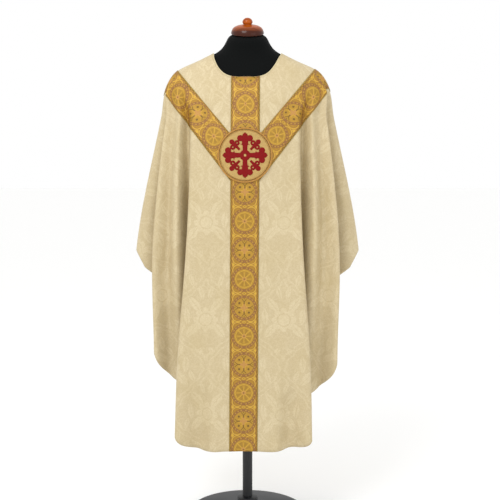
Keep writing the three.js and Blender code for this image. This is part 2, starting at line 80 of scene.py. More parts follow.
def colour(code: str) -> tuple[float, float, float, float]:
    """The linear colour of a hex code.

    Args:
        code: six digits, such as "e4d6b0".

    Returns:
        Red, green, blue and an alpha of 1.
    """
    parts = [int(code[k:k + 2], 16) / 255 for k in (0, 2, 4)]
    linear = [p / 12.92 if p <= 0.04045 else ((p + 0.055) / 1.055) ** 2.4 for p in parts]
    return (*linear, 1.0)


def curve_at(knots: Sequence[float], values: Sequence[float], x: Number) -> np.ndarray:
    """A smooth curve through values over rising or falling knots.

    Args:
        knots: where the values are given.
        values: the values there.
        x: where the curve is wanted.

    Returns:
        The curve's values at x.
    """
    knots, values, x = (np.asarray(a, float) for a in (knots, values, x))
    rates = np.diff(values) / np.diff(knots)
    spans = np.abs(np.diff(knots))
    inner = (rates[:-1] * spans[1:] + rates[1:] * spans[:-1]) / (spans[:-1] + spans[1:])
    slopes = np.concatenate([rates[:1], inner, rates[-1:]])
    turn = 1 if knots[1] > knots[0] else -1
    i = np.searchsorted(turn * knots[1:-1], turn * x)
    span = knots[i + 1] - knots[i]
    t = np.clip((x - knots[i]) / span, 0, 1)
    return hermite(t, values[i], values[i + 1], slopes[i] * span, slopes[i + 1] * span)


def unit(vectors: np.ndarray) -> np.ndarray:
    """The vectors made one long, along the last axis."""
    return vectors / np.maximum(np.linalg.norm(vectors, axis=-1, keepdims=True), 1e-12)


def along_path(points: np.ndarray) -> np.ndarray:
    """Length along a line of points, from its first point to each of them."""
    return np.concatenate([[0], np.cumsum(np.linalg.norm(np.diff(points, axis=0), axis=1))])


def sample(at: Number, along: np.ndarray, rows: np.ndarray) -> np.ndarray:
    """The rows of a line read at lengths along it."""
    return np.stack([np.interp(at, along, column) for column in rows.T], -1)


def settle(obj: bpy.types.Object) -> None:
    """Leaves only one object selected and active, out of edit mode.

    Args:
        obj: the object.
    """
    if bpy.context.object and bpy.context.object.mode != "OBJECT":
        close_edit()
    bpy.ops.object.select_all(action="DESELECT")
    obj.select_set(True)
    bpy.context.view_layer.objects.active = obj


def open_edit(obj: bpy.types.Object) -> None:
    """Opens one object alone in edit mode, with all of it selected.

    Args:
        obj: the object.
    """
    settle(obj)
    bpy.ops.object.mode_set(mode="EDIT")
    bpy.ops.mesh.select_all(action="SELECT")


def close_edit() -> None:
    """Goes back from edit mode."""
    bpy.ops.object.mode_set(mode="OBJECT")


def bake_modifier(obj: bpy.types.Object, kind: str, **settings: float) -> None:
    """Adds a modifier and applies it.

    Args:
        obj: the object.
        kind: Blender's name of the modifier's type.
        settings: its properties.
    """
    settle(obj)
    modifier = obj.modifiers.new(kind.lower(), kind)
    for name, value in settings.items():
        setattr(modifier, name, value)
    bpy.ops.object.modifier_apply(modifier=modifier.name)


def vertex_places(obj: bpy.types.Object) -> np.ndarray:
    """The places of a mesh's points.

    Args:
        obj: the mesh object.

    Returns:
        The places, count by 3.
    """
    places = np.empty(len(obj.data.vertices) * 3)
    obj.data.vertices.foreach_get("co", places)
    return places.reshape(-1, 3)


def corner_points(obj: bpy.types.Object) -> np.ndarray:
    """The point at each corner of a mesh's faces.

    Args:
        obj: the mesh object.

    Returns:
        Its index at each corner.
    """
    corners = np.empty(len(obj.data.loops), np.int32)
    obj.data.loops.foreach_get("vertex_index", corners)
    return corners


def place_points(obj: bpy.types.Object, move: Callable[[np.ndarray], np.ndarray]) -> None:
    """Moves every point of a mesh by a function from its old places to its new ones."""
    obj.data.vertices.foreach_set("co", np.ascontiguousarray(move(vertex_places(obj))).ravel())
    obj.data.update()


def order_faces(obj: bpy.types.Object) -> None:
    """Stores a mesh's faces in the order of their points, because spin leaves their order to chance.

    Args:
        obj: the mesh object.
    """
    faces = []
    for face in obj.data.polygons:
        corners = list(face.vertices)
        first = corners.index(min(corners))
        faces.append(corners[first:] + corners[:first])
    places = vertex_places(obj)
    obj.data.clear_geometry()
    obj.data.from_pydata(places.tolist(), [], sorted(faces))


def map_pattern(mesh: bpy.types.Mesh, places: np.ndarray) -> None:
    """Gives a mesh the pattern map, from the place of each corner of its faces in metres."""
    layer = mesh.uv_layers.new(name=PATTERN_MAP)
    layer.data.foreach_set("uv", places.ravel())


def shade_smooth(mesh: bpy.types.Mesh) -> None:
    """Shades every face of a mesh smooth."""
    mesh.polygons.foreach_set("use_smooth", np.ones(len(mesh.polygons), bool))


def new_object(name: str, data: bpy.types.ID) -> bpy.types.Object:
    """Makes an object in the scene.

    Args:
        name: its name.
        data: what it shows.

    Returns:
        The new object.
    """
    obj = bpy.data.objects.new(name, data)
    bpy.context.collection.objects.link(obj)
    return obj


def quad_mesh(name: str, points: np.ndarray, faces: np.ndarray,
              pattern: np.ndarray | None = None) -> bpy.types.Object:
    """Makes a smooth mesh object.

    Args:
        name: the piece's name.
        points: its points in millimetres.
        faces: the points of each face.
        pattern: each point's place on the flat pattern in metres.

    Returns:
        The new object.
    """
    mesh = bpy.data.meshes.new(name)
    mesh.from_pydata((points * MM).tolist(), [], faces.tolist())
    if pattern is not None:
        map_pattern(mesh, pattern[faces.ravel()])
    shade_smooth(mesh)
    return new_object(name, mesh)


def sheet_mesh(name: str, points: np.ndarray, pattern: np.ndarray) -> bpy.types.Object:
    """Makes a sheet of quads from a grid of points.

    Args:
        name: the piece's name.
        points: places in millimetres, columns by rows by 3.
        pattern: the places on the flat pattern in metres, columns by rows by 2.

    Returns:
        The new object.
    """
    columns, rows = points.shape[:2]
    corner = np.arange(columns * rows).reshape(columns, rows)
    quads = np.stack([corner[:-1, :-1], corner[:-1, 1:], corner[1:, 1:], corner[1:, :-1]], -1).reshape(-1, 4)
    return quad_mesh(name, points.reshape(-1, 3), quads, pattern.reshape(-1, 2))


def ring_mesh(name: str, rings: np.ndarray, flip: bool = False) -> bpy.types.Object:
    """Makes a closed tube of quads that runs round a loop.

    Args:
        name: the piece's name.
        rings: its sections in millimetres, sections by corners by 3.
        flip: whether the corners run the other way round.

    Returns:
        The new object.
    """
    here = np.arange(rings.shape[0] * rings.shape[1]).reshape(rings.shape[:2])
    after, beside = np.roll(here, -1, 0), np.roll(here, -1, 1)
    second, fourth = (after, beside) if flip else (beside, after)
    quads = np.stack([here, second, np.roll(after, -1, 1), fourth], -1).reshape(-1, 4)
    return quad_mesh(name, rings.reshape(-1, 3), quads)


class Value:
    """A socket of a finish, so that its maths can be written as Python expressions."""

    def __init__(self, nodes: "Nodes", socket: bpy.types.NodeSocket) -> None:
        """Wraps a socket of a finish's nodes."""
        self.nodes, self.socket = nodes, socket

    def math(self, operation: str, *values: Operand) -> "Value":
        """A Math node with this operation on the given values."""
        return self.nodes.add("ShaderNodeMath", {"operation": operation}, values)

    def __add__(self, other: Operand) -> "Value":
        """self + other"""
        return self.math("ADD", self, other)

    __radd__ = __add__

    def __mul__(self, other: Operand) -> "Value":
        """self * other"""
        return self.math("MULTIPLY", self, other)

    __rmul__ = __mul__

    def __sub__(self, other: Operand) -> "Value":
        """self - other"""
        return self.math("SUBTRACT", self, other)

    def __rsub__(self, other: Operand) -> "Value":
        """other - self"""
        return self.math("SUBTRACT", other, self)

    def __truediv__(self, other: Operand) -> "Value":
        """self / other"""
        return self.math("DIVIDE", self, other)

    def __abs__(self) -> "Value":
        """The value without its sign."""
        return self.math("ABSOLUTE", self)

    def __pow__(self, power: float) -> "Value":
        """self raised to a power"""
        return self.math("POWER", self, power)

    def sin(self) -> "Value":
        """Sine of the value in radians."""
        return self.math("SINE", self)

    def cos(self) -> "Value":
        """Cosine of the value in radians."""
        return self.math("COSINE", self)

    def wave(self, period: float) -> "Value":
        """A sine wave between -1 and 1, once in every period."""
        return (self * (TURN / period)).sin()

    def ripple(self, period: float) -> "Value":
        """A sine wave between 0 and 1, once in every period."""
        return self.wave(period) * 0.5 + 0.5

    def angle_over(self, other: "Value") -> "Value":
        """The angle in radians whose tangent is this value over the other."""
        return self.math("ARCTAN2", self, other)

    def centred(self, period: float) -> "Value":
        """The value wrapped to run from half a period below 0 to half a period above it."""
        return self.math("WRAP", self, period / 2, -period / 2)

    def least(self, other: Operand) -> "Value":
        """The smaller of the two."""
        return self.math("MINIMUM", self, other)

    def most(self, other: Operand) -> "Value":
        """The larger of the two."""
        return self.math("MAXIMUM", self, other)

    def below(self, edge: Operand, blur: float = 0.4) -> "Value":
        """1 where the value is under the edge, falling smoothly to 0 over a blur on both sides."""
        return self.nodes.add("ShaderNodeMapRange", {"interpolation_type": "SMOOTHSTEP"},
                              {0: edge - self, 1: -blur, 2: blur, 3: 0.0, 4: 1.0})


class Nodes:
    """The node tree of one finish."""

    def __init__(self, name: str) -> None:
        """Starts a material with its shader and output.

        Args:
            name: the material's name.
        """
        self.material = bpy.data.materials.new(name)
        self.material.use_nodes = True
        self.tree = self.material.node_tree
        self.shader = self.tree.nodes["Principled BSDF"]

    def add(self, kind: str, settings: dict[str, str] | None = None,
            inputs: Sequence[Operand] | dict = (), output: int | str = 0) -> Value:
        """Adds a node.

        Args:
            kind: Blender's name of the node's type.
            settings: its properties, which are set first.
            inputs: the values or links of its sockets, in order or by key.
            output: which of its outputs is wanted.

        Returns:
            That output.
        """
        node = self.tree.nodes.new(kind)
        for key, setting in (settings or {}).items():
            setattr(node, key, setting)
        for key, value in (inputs.items() if isinstance(inputs, dict) else enumerate(inputs)):
            self.feed(node.inputs[key], value)
        return Value(self, node.outputs[output])

    def feed(self, socket: bpy.types.NodeSocket, value: Operand | str) -> None:
        """Links a value to a socket, or sets the socket.

        Args:
            socket: the input to feed.
            value: a link, a number or the hex code of a colour.
        """
        if isinstance(value, Value):
            self.tree.links.new(value.socket, socket)
        else:
            socket.default_value = colour(value) if isinstance(value, str) else value

    def set(self, **values: Operand | str) -> None:
        """Sets or links the shader's sockets, with _ for a space in their names."""
        for name, value in values.items():
            self.feed(self.shader.inputs[name.replace("_", " ")], value)

    def blend(self, share: Operand, a: Value | str, b: Value | str) -> Value:
        """The colour a share of the way from colour a to colour b."""
        return self.add("ShaderNodeMix", {"data_type": "RGBA"}, {0: share, 6: a, 7: b}, 2)

    def split(self, vector: Value) -> tuple[Value, Value, Value]:
        """The three parts of a vector."""
        part = self.add("ShaderNodeSeparateXYZ", None, [vector])
        return tuple(Value(self, out) for out in part.socket.node.outputs)

    def pattern(self) -> tuple[Value, Value]:
        """Across and along on the flat pattern, in millimetres."""
        across, along, _ = self.split(self.add("ShaderNodeUVMap", {"uv_map": PATTERN_MAP}))
        return across * 1000, along * 1000

    def place(self) -> Value:
        """The place in the object's frame, in metres."""
        return self.add("ShaderNodeTexCoord", output="Object")

    def noise(self, vector: Value, scale: float, detail: float = 3.0, distortion: float = 0.0) -> Value:
        """Soft noise around 0.5."""
        return self.add("ShaderNodeTexNoise", None,
                        {"Vector": vector, "Scale": scale, "Detail": detail, "Distortion": distortion})

    def vector(self, x: Operand, y: Operand, z: Operand = 0.0) -> Value:
        """A vector of three values."""
        return self.add("ShaderNodeCombineXYZ", None, [x, y, z])

    def bump(self, height: Value, depth: float, strength: float = 1.0) -> Value:
        """A normal from a height of 0 to 1, over a depth in metres."""
        return self.add("ShaderNodeBump", None, {"Height": height, "Distance": depth, "Strength": strength})

    def distance(self, x: Value, y: Value, x0: float = 0.0, y0: float = 0.0) -> Value:
        """Distance from a point."""
        a, b = x - x0, y - y0
        return (a * a + b * b) ** 0.5


@dataclass(frozen=True)
class Leaf:
    """A pointed, veined leaf: its centre, the angle of its length, its half length and half width."""

    x: float
    y: float
    angle: float
    long: float
    wide: float

    def mask(self, x: Value, y: Value) -> Value:
        """The leaf as a mask.

        Args:
            x: distance from the trellis's middle line.
            y: distance along it.

        Returns:
            1 on the leaf and 0 beside it and on its vein.
        """
        c, s = math.cos(math.radians(self.angle)), math.sin(math.radians(self.angle))
        along, across = (x - self.x) * c + (y - self.y) * s, (y - self.y) * c - (x - self.x) * s
        edge = abs(across) - self.wide * (1 - (along / self.long) ** 2.0)
        return edge.below(0.0).least(1 - abs(across).below(0.45, 0.3))


@dataclass(frozen=True)
class Damask:
    """Cream damask: a satin figure of flowers and leaves in a large ogee trellis on a matt ground."""

    ground: str = "bcab87"
    figure: str = "cdbe9b"
    aged: str = "b3a072"
    sheen: str = "fff4d8"
    width: float = 236.0
    height: float = 300.0
    leaves: tuple[Leaf, ...] = (
        Leaf(17, 14, 52, 13, 5.2), Leaf(24, -4, 96, 12, 4.4), Leaf(14, -20, 128, 13, 5.0),
        Leaf(6, -36, 105, 10, 3.2), Leaf(31, 12, 70, 9, 3.4), Leaf(9, 44, 60, 9, 3.4))
    scale: float = 2.35
    petals: int = 8
    petal_base: float = 10.5
    petal_long: float = 5.5
    flower_ring: float = 8.2
    flower_eye: float = 3.4
    vine_inset: float = 4.2
    vine_swing: float = 1.3
    vine_period: float = 31.0
    yarn: float = 0.9

    def figure_mask(self, n: Nodes, u: Value, v: Value) -> Value:
        """The satin figure.

        Args:
            n: the finish's nodes.
            u: across on the pattern.
            v: along on the pattern.

        Returns:
            1 on the figure and 0 on the ground.
        """
        wide, high = self.width, self.height
        xa, ya = u.centred(wide), v.centred(high)
        xb, yb = (u + wide / 2).centred(wide), (v + high / 2).centred(high)
        ogee = (abs(xa) - (ya * (TURN / high)).cos() * (wide / 4) - wide / 4) / self.scale
        other = 1 - ogee.below(0.0, 0.05)
        x = abs(xa + (xb - xa) * other) / self.scale
        y = (ya + (yb - ya) * other) / self.scale
        r = n.distance(x, y)
        petal = abs((x.angle_over(y) * (self.petals / 2)).cos()) ** 0.6 * self.petal_long + self.petal_base
        ring = abs(r - self.flower_ring).below(0.8)
        marks = (r - petal).below(0.0).least(1 - ring).most(r.below(self.flower_eye))
        for leaf in self.leaves:
            marks = marks.most(leaf.mask(x, y))
        vine = abs(abs(ogee) - self.vine_inset + v.wave(self.vine_period) * self.vine_swing)
        return marks.most(vine.below(1.5, 0.7) * 0.7)

    def build(self) -> bpy.types.Material:
        """Makes the material.

        Returns:
            The material.
        """
        n = Nodes("damask_cloth")
        u, v = n.pattern()
        flat = n.vector(u, v)
        drawn = n.noise(flat, 0.09, 2) * 7 - 3.5
        figure = self.figure_mask(n, u + drawn, v + drawn)
        cloud = n.noise(flat, 0.01, 4)
        foliage = (0.5 - n.noise(flat, 0.17, 3, 1.6)).below(0.0, 0.07)
        fleck = (n.noise(flat, 0.42, 2, 0.8) - 0.6).most(0.0) * 1.6
        satin = figure * 0.42 + foliage * 0.42 + fleck
        shade = n.blend(satin, self.ground, self.figure)
        yarn = mix(v.ripple(self.yarn), u.ripple(self.yarn), satin)
        n.set(Base_Color=n.blend((cloud - 0.42) * 0.9, shade, self.aged),
              Roughness=0.74 - satin * 0.2 - yarn * 0.05,
              Normal=n.bump(satin * 0.8 + yarn * 0.15, 0.0002, 0.7),
              Sheen_Weight=0.12, Sheen_Roughness=0.45, Sheen_Tint=self.sheen, Specular_IOR_Level=0.3)
        return n.material


@dataclass(frozen=True)
class Orphrey:
    """Gold woven band: ringed roundels with crosses and stars by turns, and a wavy line down each side."""

    gold: str = "a1761d"
    warm: str = "a2741e"
    disc: str = "ab8124"
    bright: str = "c69c31"
    rose: str = "b78346"
    umber: str = "84562e"
    dark: str = "50360e"
    olive: str = "8c7a2c"
    glint: str = "dcb860"
    pitch: float = 89.0
    inner: float = 30.8
    outer: float = 38.8
    links: int = 22
    wave_side: float = 40.6
    wave_swing: float = 1.4
    wave_period: float = 15.0
    selvedge: float = 42.4
    twill: float = 1.3

    def cross_motif(self, n: Nodes, x: Value, y: Value) -> tuple[Value, Value, Value]:
        """A cross with forked ends and a dot in each corner.

        Args:
            n: the finish's nodes.
            x: distance from the roundel's middle across the band.
            y: distance from it along the band.

        Returns:
            The rose fill, the bright and the dark marks.
        """
        a, b = x.most(y), x.least(y)
        arm = b.below(3.6).least(a.below(12))
        stem = b.below(1.5).least(abs(a - 15.5).below(4.5))
        fork = abs(b - (a - 19) * 0.85).below(1.3).least(abs(a - 23.5).below(4))
        tip = n.distance(a, b, 28, 0).below(1.5)
        dots = n.distance(x, y, 14.6, 14.6).below(3.4)
        edge = abs(b - 5.0).below(0.7).least(abs(a - 11).below(5.5))
        return arm, edge, dots.most(stem).most(fork).most(tip)

    def star_motif(self, n: Nodes, x: Value, y: Value) -> tuple[Value, Value, Value]:
        """A star of eight rays with a dark eye.

        Args:
            n: the finish's nodes.
            x: distance from the roundel's middle across the band.
            y: distance from it along the band.

        Returns:
            The rose fill, the bright and the dark marks.
        """
        angle = y.angle_over(x)
        r = n.distance(x, y)
        petal = abs((angle * 4).sin())
        long = abs((angle * 2).cos()).below(0.4, 0.05)
        ray = (petal * r).below(2.2 + long * 1.2).least(r.below(20 + long * 6)).least(1 - r.below(5))
        rose = r.below(7.5).most(ray.least(1 - long))
        shade = (0.66 - petal).below(0.0, 0.3).least(abs(r - 16).below(8, 3.0)) * 0.34
        curl = abs(r - 27.4 + petal * 2.4).below(0.8)
        return rose, ray.most(curl), shade.most(r.below(2.1))

    def between(self, n: Nodes, side: Value, gap: Value) -> tuple[Value, Value]:
        """The leaves and the lozenge between two roundels.

        Args:
            n: the finish's nodes.
            side: distance from the band's middle line.
            gap: distance from the line halfway between two roundels.

        Returns:
            The bright and the dark marks.
        """
        lozenge = side / 6.5 + gap / 4.2
        wing = abs(n.distance(side, gap, 20, 17) - 15.5)
        corner = abs(side - 33.5) / 4.6 + gap / 15.0
        bright = corner.below(1.0, 0.1).most(wing.below(1.5)).most(abs(lozenge - 0.8).below(0.25, 0.1))
        dark = abs(corner - 1.25).below(0.18, 0.08).most(lozenge.below(0.4, 0.1))
        return bright, dark.most((wing - 2.6).below(0.4)).least(1 - wing.below(1.5))

    def build(self) -> bpy.types.Material:
        """Makes the material.

        Returns:
            The material.
        """
        n = Nodes("orphrey_band")
        w, s = n.pattern()
        side, y = abs(w), abs(s.centred(self.pitch))
        pair = s / (2 * self.pitch) + 0.25
        is_cross = pair.math("FRACT", pair).below(0.5, 0.001)
        r = n.distance(side, y)
        within, beyond = r.below(self.inner), 1 - r.below(self.outer)
        crosses, stars = self.cross_motif(n, side, y), self.star_motif(n, side, y)
        rose, bright, dark = (mix(star, cross, is_cross) * within for star, cross in zip(stars, crosses))
        leaves, eyes = (mark.least(beyond) for mark in self.between(n, side, self.pitch / 2 - y))
        ring = abs(r - (self.inner + self.outer) / 2)
        chain = y.angle_over(side).ripple(TURN / self.links).below(0.5, 0.3).least(ring.below(1.5))
        rims = abs(ring - (self.outer - self.inner) / 2).below(0.55)
        wave = abs(side - self.wave_side - s.wave(self.wave_period) * self.wave_swing).below(0.85)
        thread = n.noise(n.vector(w * 5.0, s * 0.9), 0.7, 3)
        cloud = n.noise(n.vector(w, s), 0.03, 3)
        tone = self.gold
        for share, shade in (
                (cloud * 0.6, self.warm), (within, self.disc), (ring.below(3.6), self.umber),
                (rose * 0.8, self.rose), (bright.most(leaves).most(chain * 0.6), self.bright),
                (eyes.most(rims * 0.8) * 0.7, self.umber), (dark.most(wave) * 0.85, self.dark),
                ((self.selvedge - side).below(0.0, 0.3) * 0.8, self.olive),
                ((thread - 0.46) * 1.1, self.glint), ((0.5 - thread).most(0.0) * 1.4, self.dark)):
            tone = n.blend(share, tone, shade)
        twill = (w + s).ripple(self.twill)
        relief = within * 0.3 + bright * 0.4 + leaves * 0.4 + twill * 0.2 + chain * 0.3 - dark * 0.3
        n.set(Base_Color=tone, Metallic=0.22, Roughness=0.48 + thread * 0.2,
              Normal=n.bump(relief, 0.0004, 0.8), Specular_IOR_Level=0.45)
        return n.material


@dataclass(frozen=True)
class CouchedGold:
    """The emblem's ground: rows of gold thread laid side by side and sewn down in a brick order."""

    light: str = "d2b571"
    shade: str = "9e7535"
    tie: str = "8a5a2a"
    thread: float = 1.9
    tie_pitch: float = 7.0
    drift: float = 9.0

    def build(self) -> bpy.types.Material:
        """Makes the material.

        Returns:
            The material.
        """
        n = Nodes("couched_gold")
        u, v = n.pattern()
        flat = n.vector(u, v)
        row = (v + (n.noise(flat, 0.05, 2) - 0.5) * self.drift) / self.thread
        ridge = abs((row * math.pi).sin())
        odd = row.math("MODULO", row.math("FLOOR", row), 2.0)
        tie = abs((u + odd * (self.tie_pitch / 2)).centred(self.tie_pitch)).below(0.5, 0.3)
        fleck = n.noise(flat, 0.9, 2)
        # Painted light and shade: each thread's crown is coloured lighter and the groove between rows darker,
        # following the bump's ridge; the fleck is random tone.
        tone = n.blend(ridge * 0.7 + fleck * 0.3, self.shade, self.light)
        n.set(Base_Color=n.blend(tie * 0.45, tone, self.tie), Metallic=0.25, Roughness=0.5 + fleck * 0.2,
              Normal=n.bump(ridge * (1 - tie * 0.6), 0.0006, 0.9))
        return n.material


@dataclass(frozen=True)
class SatinStitch:
    """Red satin stitch, its threads laid across each shape."""

    deep: str = "560102"
    light: str = "9a0509"
    thread: float = 0.9
    lie: float = 3.0

    def build(self) -> bpy.types.Material:
        """Makes the material.

        Returns:
            The material.
        """
        n = Nodes("red_satin_stitch")
        u, v = n.pattern()
        ridge = (v + n.noise(n.vector(u, v), 0.06, 2) * self.lie).ripple(self.thread)
        patch = n.noise(n.vector(u * 0.3, v), 0.5, 3)
        # Painted light and shade: the colour follows the thread ridges and patches of the bump, lighter on top
        # and darker between threads.
        n.set(Base_Color=n.blend(ridge * 0.45 + patch * 0.5, self.deep, self.light),
              Roughness=0.42 + patch * 0.2, Normal=n.bump(ridge * 0.6 + patch * 0.4, 0.0003, 0.8),
              Specular_IOR_Level=0.15)
        return n.material


@dataclass(frozen=True)
class Thread:
    """Spun thread or cord: a colour with fine fibres, and painted shade darkening the hollows between them."""

    name: str
    light: str
    shade: str
    metallic: float = 0.0
    roughness: float = 0.6

    def build(self) -> bpy.types.Material:
        """Makes the material.

        Returns:
            The material.
        """
        n = Nodes(self.name)
        fibre = n.noise(n.place(), 900, 3)
        # Painted shade: the fibre noise that lowers the bump also darkens the colour.
        n.set(Base_Color=n.blend(fibre, self.shade, self.light),
              Roughness=self.roughness - 0.1 + fibre * 0.2, Normal=n.bump(fibre, 0.0003, 0.6),
              Metallic=self.metallic, Sheen_Weight=0.15)
        return n.material


@dataclass(frozen=True)
class Jersey:
    """Black knitted cover of the form."""

    tone: str = "020303"
    lint: str = "090c0c"
    wale: float = 2.4
    ribs: int = 150

    def build(self) -> bpy.types.Material:
        """Makes the material.

        Returns:
            The material.
        """
        n = Nodes("black_jersey")
        x, y, z = n.split(n.place())
        rib = abs((y.angle_over(x) * self.ribs).sin())
        row = abs((z * (math.pi / (self.wale * MM)) + rib * 1.2).sin())
        lint = n.noise(n.place(), 240, 4)
        n.set(Base_Color=n.blend(lint * 0.8, self.tone, self.lint), Roughness=0.75 + lint * 0.2,
              Normal=n.bump(rib * 0.5 + row * 0.5, 0.0004, 0.5), Specular_IOR_Level=0.12)
        return n.material


@dataclass(frozen=True)
class VarnishedWood:
    """Turned wood with a red-brown stain under a glossy varnish, with painted shade darkening it towards its
    lower edge.
    """

    pale: str = "c05c0a"
    deep: str = "5a1c02"
    underside_shade: str = "3c1403"
    underside_shade_top: float = 1.574

    def build(self) -> bpy.types.Material:
        """Makes the material.

        Returns:
            The material.
        """
        n = Nodes("varnished_wood")
        x, y, z = n.split(n.place())
        warp = n.noise(n.place(), 14, 3)
        grain = n.noise(n.vector(x * 9 + warp * 0.35, y * 60, z * 60), 2.2, 5)
        rings = abs((y * 210 + z * 60 + warp * 5).sin())
        tone = n.blend(grain * 0.65 + rings * 0.35, self.deep, self.pale)
        # Painted shade: below a set height the colour darkens towards the cap's lower edge.
        n.set(Base_Color=n.blend(((self.underside_shade_top - z) * 55).most(0.0), tone, self.underside_shade),
              Roughness=0.34 + grain * 0.12, Normal=n.bump(grain, 0.0002, 0.25),
              Coat_Weight=0.3, Coat_Roughness=0.1, Specular_IOR_Level=0.1)
        return n.material


@dataclass(frozen=True)
class PowderCoat:
    """Black satin powder coat with a faint grain, rubbed a little paler by handling."""

    tone: str = "18191b"
    worn: str = "2c2d30"

    def build(self) -> bpy.types.Material:
        """Makes the material.

        Returns:
            The material.
        """
        n = Nodes("black_powder_coat")
        grain = n.noise(n.place(), 700, 3)
        scuff = n.noise(n.place(), 9, 5, 0.6)
        n.set(Base_Color=n.blend((scuff - 0.35) * 1.1, self.tone, self.worn), Roughness=0.38 + scuff * 0.18,
              Normal=n.bump(grain, 0.0002, 0.35), Metallic=0.2)
        return n.material


@dataclass(frozen=True)
class StudioFloor:
    """Plain pale floor."""

    tone: str = "fefefd"

    def build(self) -> bpy.types.Material:
        """Makes the material.

        Returns:
            The material.
        """
        n = Nodes("studio_floor")
        n.set(Base_Color=self.tone, Roughness=0.7)
        return n.material


class Slot(Enum):
    """The record's material slots, each with the finish that it wears."""

    DAMASK = Damask()
    ORPHREY = Orphrey()
    MEDALLION = CouchedGold()
    CORD = Thread("gold_cord", "d09c42", "8a5a1e", 0.25, 0.45)
    CROSS = SatinStitch()
    JERSEY = Jersey()
    WOOD = VarnishedWood()
    STEEL = PowderCoat()

    @property
    def slot(self) -> str:
        """The slot's name in the record."""
        return self.name.lower()


class Wardrobe:
    """Makes each finish once, and dresses the pieces."""

    def __init__(self) -> None:
        """Makes every finish."""
        self.materials = {slot: slot.value.build() for slot in Slot}

    def dress(self, obj: bpy.types.Object, slot: Slot, replaces: Iterable[str] = (),
              finish: bpy.types.Material | None = None) -> bpy.types.Object:
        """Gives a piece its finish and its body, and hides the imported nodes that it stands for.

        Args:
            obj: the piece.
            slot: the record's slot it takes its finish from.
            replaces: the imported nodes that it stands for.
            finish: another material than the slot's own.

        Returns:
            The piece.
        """
        obj.data.materials.clear()
        obj.data.materials.append(finish or self.materials[slot])
        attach(obj, BODY)
        slot.slot
        if replaces:
            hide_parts(*replaces)
        log.info("%s: %d faces, %s", obj.name, len(obj.data.polygons), slot.slot)
        return obj


class Face(Enum):
    """The two panels of the chasuble, with the sign of Y on each."""

    FRONT = -1
    BACK = 1

    @property
    def word(self) -> str:
        """The panel's name in the pieces' names."""
        return self.name.lower()

    @property
    def other(self) -> "Face":
        """The panel on the other side of the seam."""
        return Face.BACK if self is Face.FRONT else Face.FRONT


@dataclass(frozen=True)
class Fold:
    """One fold line of a quarter of the cloth.

    neck and yoke are distances from the centre plane, levels are its places lower down as (distance from
    the centre plane, depth), end is the height of the hem there, rise is what the wearer's right adds to it,
    sway is its share of the drift to that side, and steps are the columns of the mesh up to the next fold
    line. Where the cloth folds over on the shoulder, crease is how far out and how far forward the line
    leaves the yoke, and climb is what it adds to the height of the diagonal orphrey's lower edge.
    """

    neck: float
    yoke: float
    levels: tuple[tuple[float, float], ...]
    end: float
    rise: float
    sway: float
    steps: int
    crease: tuple[float, float] = (0, 0)
    climb: float = 0


SEAM_FOLD = Fold(107, 249, ((273, 0), (355, 0), (372, 0), (372, 0)), 874, 0, 0, 0, climb=-11)
FOLDS = {
    Face.FRONT: (
        Fold(0, 0, ((0, 134), (0, 152), (0, 158), (0, 164)), 262, 0, 1, 8),
        Fold(44, 44, ((44, 133), (44, 152), (44, 158), (44, 165)), 261, 0, 1, 8),
        Fold(62, 96, ((98, 127), (104, 150), (108, 157), (96, 169)), 260, 0, 1, 8),
        Fold(76, 132, ((134, 118), (146, 147), (156, 152), (142, 137)), 262, -2, 1, 10),
        Fold(85, 158, ((161, 112), (180, 140), (206, 138), (216, 146)), 288, 12, 1, 14),
        Fold(91, 176, ((177, 80), (150, 60), (92, 34), (104, 54)), 392, 30, 0.9, 14),
        Fold(95, 194, ((202, 94), (213, 124), (200, 88), (198, 86)), 418, 40, 0.8, 10),
        Fold(99, 212, ((224, 70), (242, 88), (238, 72), (232, 64)), 444, 38, 0.7, 10),
        Fold(102, 229, ((248, 68), (290, 106), (288, 98), (288, 98)), 520, 36, 0.5, 14, (2, 8)),
        Fold(104, 240, ((228, 32), (188, 15), (206, 14), (212, 14)), 690, 10, 0.2, 14, (-12, 5), 25),
        Fold(106, 246, ((264, 22), (322, 34), (330, 34), (330, 34)), 822, 0, 0, 10, (-1, 4), 5),
        SEAM_FOLD,
    ),
    Face.BACK: (
        Fold(0, 0, ((0, 138), (0, 147), (0, 151), (0, 157)), 252, 0, 0.3, 8),
        Fold(44, 44, ((44, 137), (44, 147), (44, 151), (44, 158)), 252, 0, 0.3, 8),
        Fold(62, 96, ((98, 132), (102, 143), (108, 145), (102, 162)), 253, 0, 0.3, 8),
        Fold(76, 134, ((140, 121), (148, 130), (154, 126), (150, 124)), 257, 0, 0.3, 10),
        Fold(85, 162, ((168, 112), (190, 136), (210, 134), (218, 142)), 284, -12, 0.3, 14),
        Fold(91, 183, ((186, 82), (158, 62), (104, 38), (112, 56)), 388, -20, 0.2, 14),
        Fold(95, 202, ((212, 90), (222, 118), (208, 84), (206, 82)), 424, -20, 0.2, 10),
        Fold(99, 219, ((230, 66), (248, 80), (246, 66), (242, 60)), 462, -16, 0.1, 10),
        Fold(102, 234, ((257, 60), (294, 96), (296, 92), (296, 92)), 540, -12, 0.1, 14),
        Fold(104, 242, ((240, 28), (194, 15), (210, 14), (216, 14)), 696, 0, 0, 14),
        Fold(106, 247, ((265, 20), (326, 30), (334, 30), (334, 30)), 826, 0, 0, 10),
        SEAM_FOLD,
    ),
}
SEAM = len(FOLDS[Face.FRONT]) - 1
BAND_EDGE = 1
CREASE_RISE = 0.35
CREASE_END = 1.12
CREASE_FALL = 0.25


